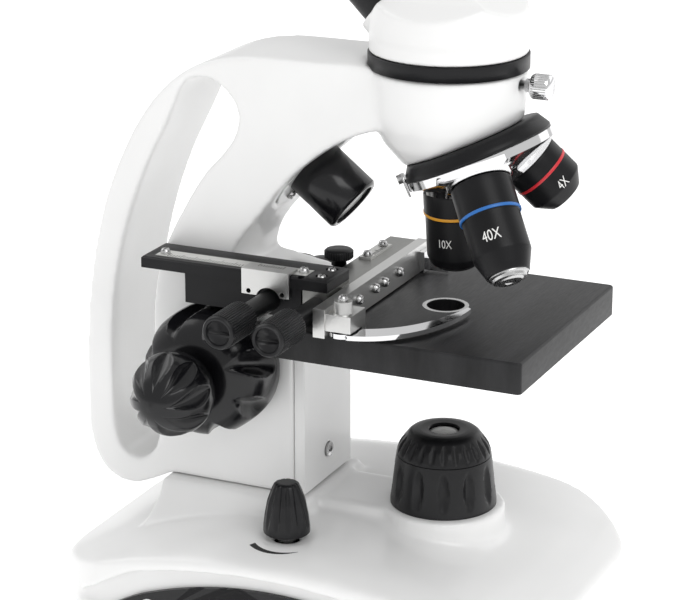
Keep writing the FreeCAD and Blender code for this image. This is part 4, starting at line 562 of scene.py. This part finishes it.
# %% Brightness knob and illuminator
OPTICAL_Y = -37
UPWARDS = (0, 0, 1)
KNOB = (-40.5, 3.6)
KNOB_FOOT = 40.7
cone = [
    (3.1, 9.0), (3.1, 0), (8.0, 0), (7.95, 2.6), (7.5, 6.5), (6.6, 11.4), (5.2, 15.4),
    (4.2, 17.6), (3.2, 18.0), (0, 18.0),
]
item = turned(
    "brightness_cone", rounded(cone, 0.6, 3) + [(0, 9.0)], 168,
    scoops(12, 1.6, 19.4, 0.17, 0.85), facing((*KNOB, KNOB_FOOT), UPWARDS), 0.6, loop=True,
)
done(item, "brightness_knob", black_moulding, degrees=30)
FRONT_FLUTE = math.radians(22.4)
optical = facing((0, OPTICAL_Y, 0), UPWARDS)
body_profile = [
    (15.9, 43.9), (18.4, 43.9), (18.35, 45.4), (18.1, 47.4), (17.75, 50.6), (17.4, 54.0),
    (16.95, 58.0), (16.4, 61.5), (13.0, 61.5), (14.9, 50.0),
]
item = turned(
    "illuminator_dome", body_profile, 216,
    scoops(12, 45.9, 60.0, 0.125, 1.5, phase=FRONT_FLUTE), optical, 0.6, loop=True,
)
done(item, "illuminator_body", black_moulding, degrees=30)
ring_profile = [
    (8.2, 61.8), (16.4, 61.8), (16.1, 63.2), (15.5, 64.9), (14.6, 66.4), (13.4, 67.9),
    (12.4, 69.2), (11.4, 70.0), (9.8, 70.45), (8.2, 70.6), (5.5, 70.4), (5.2, 70.1),
    (5.2, 68.2), (8.2, 68.2),
]
item = turned(
    "illuminator_crown", ring_profile, 288,
    scoops(24, 62.5, 68.6, 0.075, 0.75, phase=FRONT_FLUTE), optical, 0.45, loop=True,
)
done(item, "illuminator_ring", black_moulding, degrees=30)
print("brightness knob and illuminator turned")

# %% [markdown]
# ## The three objectives
# Each objective is a black barrel with a narrow coloured band that tells its power, its number
# printed below the band, and a small front lens. All three hang from one point, the apex where
# their axes meet, so each is turned along its own axis from there. The strongest one ends in a
# bare metal nose.

# %% Objectives
TILT = math.radians(24.5)
APEX = (0, OPTICAL_Y, 192.8)
BARREL = 10.2
BAND_INNER = 9.6
BAND_EDGE = 10.3
BAND_CROWN = 10.38
BAND_HALF = 0.5
BAND_FLAT = 0.3
PRINT_SQUEEZE = 0.72
PRINT_PROUD = 0.05
NOSE_LENS_LOW = 72.6
band_red = finish("band_red", (0.60, 0.02, 0.03), 0.35, drift=0.08, grain=900, relief=0.01)
band_yellow = finish(
    "band_yellow", (0.80, 0.36, 0.02), 0.35, drift=0.08, grain=900, relief=0.01
)
band_blue = finish("band_blue", (0.02, 0.15, 0.48), 0.35, drift=0.08, grain=900, relief=0.01)
print_white = finish(
    "print_white", (0.82, 0.82, 0.80), 0.5, drift=0.03, grain=900, relief=0.005
)


def objective_axis(turn):
    """Which way an objective points when it stands turned about the nosepiece's axis."""
    angle = math.radians(turn)
    lean, rise = math.sin(TILT), math.cos(TILT)
    return Vector(
        (
            lean * math.sin(angle),
            -lean * rise * (1 - math.cos(angle)),
            -rise ** 2 - lean ** 2 * math.cos(angle),
        )
    )


def printed(name, words, cap, squeeze, matrix, radius, along, angle):
    """Raised lettering wrapped round a barrel, reading with its top towards the apex."""
    curve = bpy.data.curves.new(name, "FONT")
    curve.body = words
    curve.align_x = "CENTER"
    curve.align_y = "CENTER"
    curve.extrude = 0.01
    item = frozen(new_piece(name, curve), name)
    letters = bmesh.new()
    letters.from_mesh(item.data)
    bmesh.ops.remove_doubles(letters, verts=letters.verts, dist=1e-5)
    bmesh.ops.triangulate(letters, faces=letters.faces)
    long_edges = [
        edge for edge in letters.edges
        if abs(edge.verts[0].co.x - edge.verts[1].co.x) > 0.15
    ]
    bmesh.ops.subdivide_edges(letters, edges=long_edges, cuts=2)
    heights = [vertex.co.y for vertex in letters.verts]
    scale = cap / (max(heights) - min(heights))
    for vertex in letters.verts:
        x, y, z = vertex.co
        here = angle - x * scale * squeeze / radius
        out = (radius + (PRINT_PROUD if z > 0 else -PRINT_PROUD)) * MM
        vertex.co = (out * math.cos(here), out * math.sin(here), (along - y * scale) * MM)
    bmesh.ops.triangulate(letters, faces=letters.faces)
    bmesh.ops.recalc_face_normals(letters, faces=letters.faces)
    bmesh.ops.transform(letters, matrix=matrix, verts=letters.verts)
    letters.to_mesh(item.data)
    letters.free()
    return item


FRONT_LEFT = Vector((-0.87, -0.36, 0.27))
OBJECTIVES = {
    "objective_4x": dict(
        turn=135, band=43.9, colour=band_red, words="4X", cap=3.1, label=49.6, aside=11.5,
        low=55.6, lens=4.6, girth=10.2,
        front=[(10.2, 50.7), (9.8, 51.3), (6.4, 55.6)],
    ),
    "objective_10x": dict(
        turn=15, band=45.8, colour=band_yellow, words="10X", cap=2.9, label=54.7, aside=-22.8,
        low=65.6, lens=3.2, girth=9.8,
        front=[(9.8, 46.6), (9.8, 61.2), (8.6, 64.0), (6.6, 65.6)],
    ),
    "objective_40x": dict(
        turn=-105, band=49.1, colour=band_blue, words="40X", cap=3.6, label=58.2, aside=-10,
        low=72.3, lens=1.5, girth=9.7,
        front=[(9.7, 49.9), (9.7, 63.0), (7.1, 69.8)],
    ),
}
for node, spec in OBJECTIVES.items():
    axis = objective_axis(spec["turn"])
    stand = facing(APEX, axis)
    at = spec["band"]
    barrel = [(0, 33.9), (9.0, 33.9), (9.0, 37.6), (9.7, 37.6), (BARREL, 38.2), (BARREL, at)]
    barrel += spec["front"]
    nose = spec["front"][-1]
    low = spec["low"]
    lens = spec["lens"]
    if node != "objective_40x":
        barrel += [(lens + 1.0, low), (lens + 0.6, low - 0.8), (lens, low - 1.1)]
        barrel += [(0, low - 1.1)]
    else:
        barrel += [(0, nose[1])]
        steel = [
            (0, 69.7), (6.8, 69.7), (6.8, 70.3), (5.9, 70.6), (5.7, 71.5), (4.6, 71.7),
            (4.0, 72.3), (2.0, 72.3), (1.6, 71.9), (0, 71.9),
        ]
        item = turned(node + "_nose", rounded(steel, 0.2, 2), 96, None, stand, 0.8)
        done(item, node, machined, stands=False, degrees=30)
        low = NOSE_LENS_LOW
    item = turned(node + "_barrel", rounded(barrel, 0.35, 3), 128, None, stand, 2.0)
    done(item, node, black_enamel, degrees=30)
    glass = [(0, low - 1.3), (lens, low - 1.3), (lens - 0.2, low - 0.95), (0, low - 0.7)]
    item = turned(node + "_front_lens", glass, 48, None, stand, 1.0)
    done(item, node, clear_glass, stands=False)
    band = [
        (BAND_INNER, at - BAND_HALF), (BAND_EDGE, at - BAND_HALF), (BAND_CROWN, at - BAND_FLAT),
        (BAND_CROWN, at + BAND_FLAT), (BAND_EDGE, at + BAND_HALF), (BAND_INNER, at + BAND_HALF),
    ]
    item = turned(node + "_band", band, 128, None, stand, 2.0, loop=True)
    done(item, node, spec["colour"], stands=False, degrees=30)
    side = stand.to_3x3().transposed() @ FRONT_LEFT
    angle = math.atan2(side.y, side.x) - math.radians(spec["aside"])
    item = printed(
        node + "_power", spec["words"], spec["cap"], PRINT_SQUEEZE, stand, spec["girth"],
        spec["label"], angle,
    )
    done(item, node, print_white, stands=False)
    print(node, "turned about", tuple(round(value, 3) for value in axis))

# %% [markdown]
# ## Things that repeat: ribs and scale marks
# Forty-four ribs round a knob, or forty-one marks along a scale, are one small shape repeated by
# a rule, which is what Geometry Nodes are for. Each tree has named inputs for its sizes, and ends
# by making its instances real and giving them their material.

# %% Node trees


def new_tree(name, inputs):
    """An empty geometry tree with named inputs, and its input and output nodes."""
    tree = bpy.data.node_groups.new(name, "GeometryNodeTree")
    tree.interface.new_socket("Geometry", in_out="OUTPUT", socket_type="NodeSocketGeometry")
    for label, kind in inputs.items():
        tree.interface.new_socket(label, in_out="INPUT", socket_type="NodeSocket" + kind)
    return tree, tree.nodes.new("NodeGroupInput"), tree.nodes.new("NodeGroupOutput")


def closing(tree, instances, given, result):
    """Realize the instances and set their material."""
    real = tree.nodes.new("GeometryNodeRealizeInstances")
    coat = tree.nodes.new("GeometryNodeSetMaterial")
    tree.links.new(instances, real.inputs["Geometry"])
    tree.links.new(real.outputs["Geometry"], coat.inputs["Geometry"])
    tree.links.new(given.outputs["Material"], coat.inputs["Material"])
    tree.links.new(coat.outputs["Geometry"], result.inputs["Geometry"])


def grown(name, tree, values, matrix):
    """The plain mesh that a tree makes with these values, put in its place."""
    item = new_piece(name, bpy.data.meshes.new(name))
    growth = item.modifiers.new("growth", "NODES")
    growth.node_group = tree
    for socket in tree.interface.items_tree:
        if socket.in_out == "INPUT":
            growth[socket.identifier] = values[socket.name]
    item = frozen(item, name)
    item.data.transform(matrix)
    return item


rib_tree, given, result = new_tree(
    "ribs_round_axis",
    {
        "Count": "Int", "Ring Radius": "Float", "Rib Radius": "Float", "Rib Length": "Float",
        "Material": "Material",
    },
)
circle = rib_tree.nodes.new("GeometryNodeMeshCircle")
rod = rib_tree.nodes.new("GeometryNodeMeshCylinder")
rod.inputs["Vertices"].default_value = 8
spread = rib_tree.nodes.new("GeometryNodeInstanceOnPoints")
rib_tree.links.new(given.outputs["Count"], circle.inputs["Vertices"])
rib_tree.links.new(given.outputs["Ring Radius"], circle.inputs["Radius"])
rib_tree.links.new(given.outputs["Rib Radius"], rod.inputs["Radius"])
rib_tree.links.new(given.outputs["Rib Length"], rod.inputs["Depth"])
rib_tree.links.new(circle.outputs["Mesh"], spread.inputs["Points"])
rib_tree.links.new(rod.outputs["Mesh"], spread.inputs["Instance"])
closing(rib_tree, spread.outputs["Instances"], given, result)

mark_tree, given, result = new_tree(
    "scale_marks",
    {
        "Count": "Int", "Pitch": "Float", "Short": "Float", "Long": "Float", "Every": "Int",
        "Width": "Float", "Height": "Float", "Material": "Material",
    },
)
line = mark_tree.nodes.new("GeometryNodeMeshLine")
step = mark_tree.nodes.new("ShaderNodeCombineXYZ")
mark_tree.links.new(given.outputs["Count"], line.inputs["Count"])
mark_tree.links.new(given.outputs["Pitch"], step.inputs["Y"])
mark_tree.links.new(step.outputs["Vector"], line.inputs["Offset"])
index = mark_tree.nodes.new("GeometryNodeInputIndex")
left_over = mark_tree.nodes.new("ShaderNodeMath")
left_over.operation = "MODULO"
mark_tree.links.new(index.outputs["Index"], left_over.inputs[0])
mark_tree.links.new(given.outputs["Every"], left_over.inputs[1])
short = mark_tree.nodes.new("ShaderNodeMath")
short.operation = "GREATER_THAN"
short.inputs[1].default_value = 0.5
mark_tree.links.new(left_over.outputs["Value"], short.inputs[0])
length = mark_tree.nodes.new("GeometryNodeSwitch")
length.input_type = "FLOAT"
mark_tree.links.new(short.outputs["Value"], length.inputs["Switch"])
mark_tree.links.new(given.outputs["Long"], length.inputs["False"])
mark_tree.links.new(given.outputs["Short"], length.inputs["True"])
shape = mark_tree.nodes.new("ShaderNodeCombineXYZ")
mark_tree.links.new(length.outputs["Output"], shape.inputs["X"])
mark_tree.links.new(given.outputs["Width"], shape.inputs["Y"])
mark_tree.links.new(given.outputs["Height"], shape.inputs["Z"])
brick = mark_tree.nodes.new("GeometryNodeMeshCube")
shift = mark_tree.nodes.new("GeometryNodeTransform")
shift.inputs["Translation"].default_value = (0.5, 0, 0)
mark_tree.links.new(brick.outputs["Mesh"], shift.inputs["Geometry"])
laid = mark_tree.nodes.new("GeometryNodeInstanceOnPoints")
mark_tree.links.new(line.outputs["Mesh"], laid.inputs["Points"])
mark_tree.links.new(shift.outputs["Geometry"], laid.inputs["Instance"])
mark_tree.links.new(shape.outputs["Vector"], laid.inputs["Scale"])
closing(mark_tree, laid.outputs["Instances"], given, result)
print("trees:", rib_tree.name, mark_tree.name)

# %% Ribs
# Count, ring radius, rib radius, rib length, middle, axis and finish, in millimetres.
RIBBED = {
    "y_knob": (44, 5.6, 0.26, 15.6, (-65.6, 11.0, 121.2), (1, 0, 0), black_moulding),
    "x_knob": (44, 5.6, 0.26, 15.6, (-65.6, -6.6, 121.2), (1, 0, 0), black_moulding),
    "holder_clamp_screw": (36, 4.85, 0.2, 2.4, (0, 2.8, 128.05), (0, 0, 1), black_moulding),
    "head_lock_screw": (30, 4.0, 0.2, 5.2, (0, -69.7, 193.8), (0, 1, 0), machined),
}
for node, (count, ring, rib, long, place, axis, material) in RIBBED.items():
    values = {
        "Count": count, "Ring Radius": ring * MM, "Rib Radius": rib * MM,
        "Rib Length": long * MM, "Material": material,
    }
    item = grown(node + "_ribs", rib_tree, values, facing(place, axis))
    done(item, node, material, stands=False, degrees=50)
    print(node, "ribs", count)

# %% Scale marks
ink = finish("ink", (0.02, 0.02, 0.02), 0.6, drift=0.1, grain=900, relief=0.005)
MARK_WIDTH = 0.16
MARK_HEIGHT = 0.08
LONG_EVERY = 5
# Count, pitch, short mark, long mark and first place in millimetres, and the turn in degrees.
MARKS = {
    "y_scale": (41, 1.0, 2.0, 3.2, (-34.1, 11.0, 130.57), 0),
    "vernier_bracket": (11, 0.9, 1.6, 2.6, (-34.2, 7.5, 131.62), 0),
    "x_vernier": (11, 0.9, 1.5, 2.4, (19.0, -6.5, 126.12), 90),
}
for node, (count, pitch, short_mark, long_mark, place, turn) in MARKS.items():
    values = {
        "Count": count, "Pitch": pitch * MM, "Short": short_mark * MM, "Long": long_mark * MM,
        "Every": LONG_EVERY, "Width": MARK_WIDTH * MM, "Height": MARK_HEIGHT * MM,
        "Material": ink,
    }
    stand = Matrix.Translation(Vector(place) * MM) @ Matrix.Rotation(math.radians(turn), 4, "Z")
    item = grown(node + "_marks", mark_tree, values, stand)
    done(item, node, ink, stands=False)
    print(node, "marks", count)

# %% [markdown]
# ## The brightness mark and the stage's bright rim
# A wedge printed round the knob shows which way is brighter. It has to lie on the curved casting,
# so each of its points is dropped onto the finished base. The stage's hole has a bright turned
# rim.

# %% Printed wedge and stage rim
WEDGE_START = 143
WEDGE_SWEEP = 78
WEDGE_RADIUS = 13.1
WEDGE_SPREAD = 1.7
WEDGE_HALF = 1.05
WEDGE_TIP = 0.03
WEDGE_PROUD = 0.06
WEDGE_SUNK = 0.3
DROP_FROM = 0.1
base_piece = bpy.data.objects["base_shell_cast"]
wedge = bmesh.new()
STEPS = 26
rows = []
for number in range(STEPS + 1):
    share = number / STEPS
    angle = math.radians(WEDGE_START + WEDGE_SWEEP * share)
    middle = WEDGE_RADIUS + WEDGE_SPREAD * share
    half = WEDGE_HALF * (1 - share) ** 0.8 + WEDGE_TIP
    row = []
    for offset in (-half, half):
        x = (KNOB[0] + (middle + offset) * math.cos(angle)) * MM
        y = (KNOB[1] + (middle + offset) * math.sin(angle)) * MM
        _, spot, _, _ = base_piece.ray_cast(Vector((x, y, DROP_FROM)), Vector((0, 0, -1)))
        row.append(wedge.verts.new((x, y, spot.z + WEDGE_PROUD * MM)))
        row.append(wedge.verts.new((x, y, spot.z - WEDGE_SUNK * MM)))
    rows.append(row)
for before, after in zip(rows, rows[1:]):
    for one, two in ((0, 2), (2, 3), (3, 1), (1, 0)):
        wedge.faces.new((before[one], before[two], after[two], after[one]))
wedge.faces.new((rows[0][0], rows[0][1], rows[0][3], rows[0][2]))
wedge.faces.new((rows[-1][0], rows[-1][2], rows[-1][3], rows[-1][1]))
bmesh.ops.recalc_face_normals(wedge, faces=wedge.faces)
wedge_mesh = bpy.data.meshes.new("brightness_wedge")
wedge.to_mesh(wedge_mesh)
wedge.free()
done(new_piece("brightness_wedge", wedge_mesh), "base_shell", ink, stands=False)
rim = [(6.32, 112.0), (7.0, 112.0), (7.0, 114.6), (7.9, 115.03), (6.5, 115.03), (6.32, 114.8)]
item = turned("stage_rim", rim, 96, None, optical, 1.0, loop=True)
done(item, "stage_plate", machined, stands=False, degrees=30)
print("wedge and rim made")

# %% [markdown]
# ## Floor and light
# A pale flat floor and three large soft lights keep the shadows faint, as in a catalogue. The
# world is white so that polished metal has something bright to reflect.

# %% Floor and light
floor_mesh = bpy.data.meshes.new("floor")
FLOOR_HALF = 3.0
FLOOR_GLOW = 0.42
WORLD_STRENGTH = 0.70
LIGHT_TARGET = (0, 0, 0.12)
corners = [(-1, -1), (1, -1), (1, 1), (-1, 1)]
floor_mesh.from_pydata(
    [(x * FLOOR_HALF, y * FLOOR_HALF, 0) for x, y in corners], [], [(0, 1, 2, 3)]
)
floor = new_piece("floor", floor_mesh)
floor_paint = finish(
    "floor_paint", (0.90, 0.90, 0.90), 0.8, drift=0.004, grain=40, relief=0.01,
    Emission_Color=(1, 1, 1, 1), Emission_Strength=FLOOR_GLOW,
)
paint(floor, floor_paint)
world = bpy.data.worlds.new("studio")
world.use_nodes = True
backdrop = world.node_tree.nodes["Background"]
backdrop.inputs["Color"].default_value = (1, 1, 1, 1)
backdrop.inputs["Strength"].default_value = WORLD_STRENGTH
bpy.context.scene.world = world
bpy.context.scene.view_settings.view_transform = "Standard"
# Place, size in metres and power in watts.
LIGHTS = {
    "key": ((-0.9, -1.1, 1.5), 1.2, 13.0),
    "fill": ((1.4, -0.7, 0.9), 1.4, 4.0),
    "back": ((0.2, 1.3, 1.4), 1.2, 6.0),
}
for name, (place, size, power) in LIGHTS.items():
    lamp_data = bpy.data.lights.new(name, "AREA")
    lamp_data.size = size
    lamp_data.energy = power
    lamp = bpy.data.objects.new(name, lamp_data)
    lamp.location = place
    aim = Vector(LIGHT_TARGET) - Vector(place)
    lamp.rotation_euler = aim.to_track_quat("-Z", "Y").to_euler()
    bpy.context.scene.collection.objects.link(lamp)
print("lights:", len(LIGHTS))
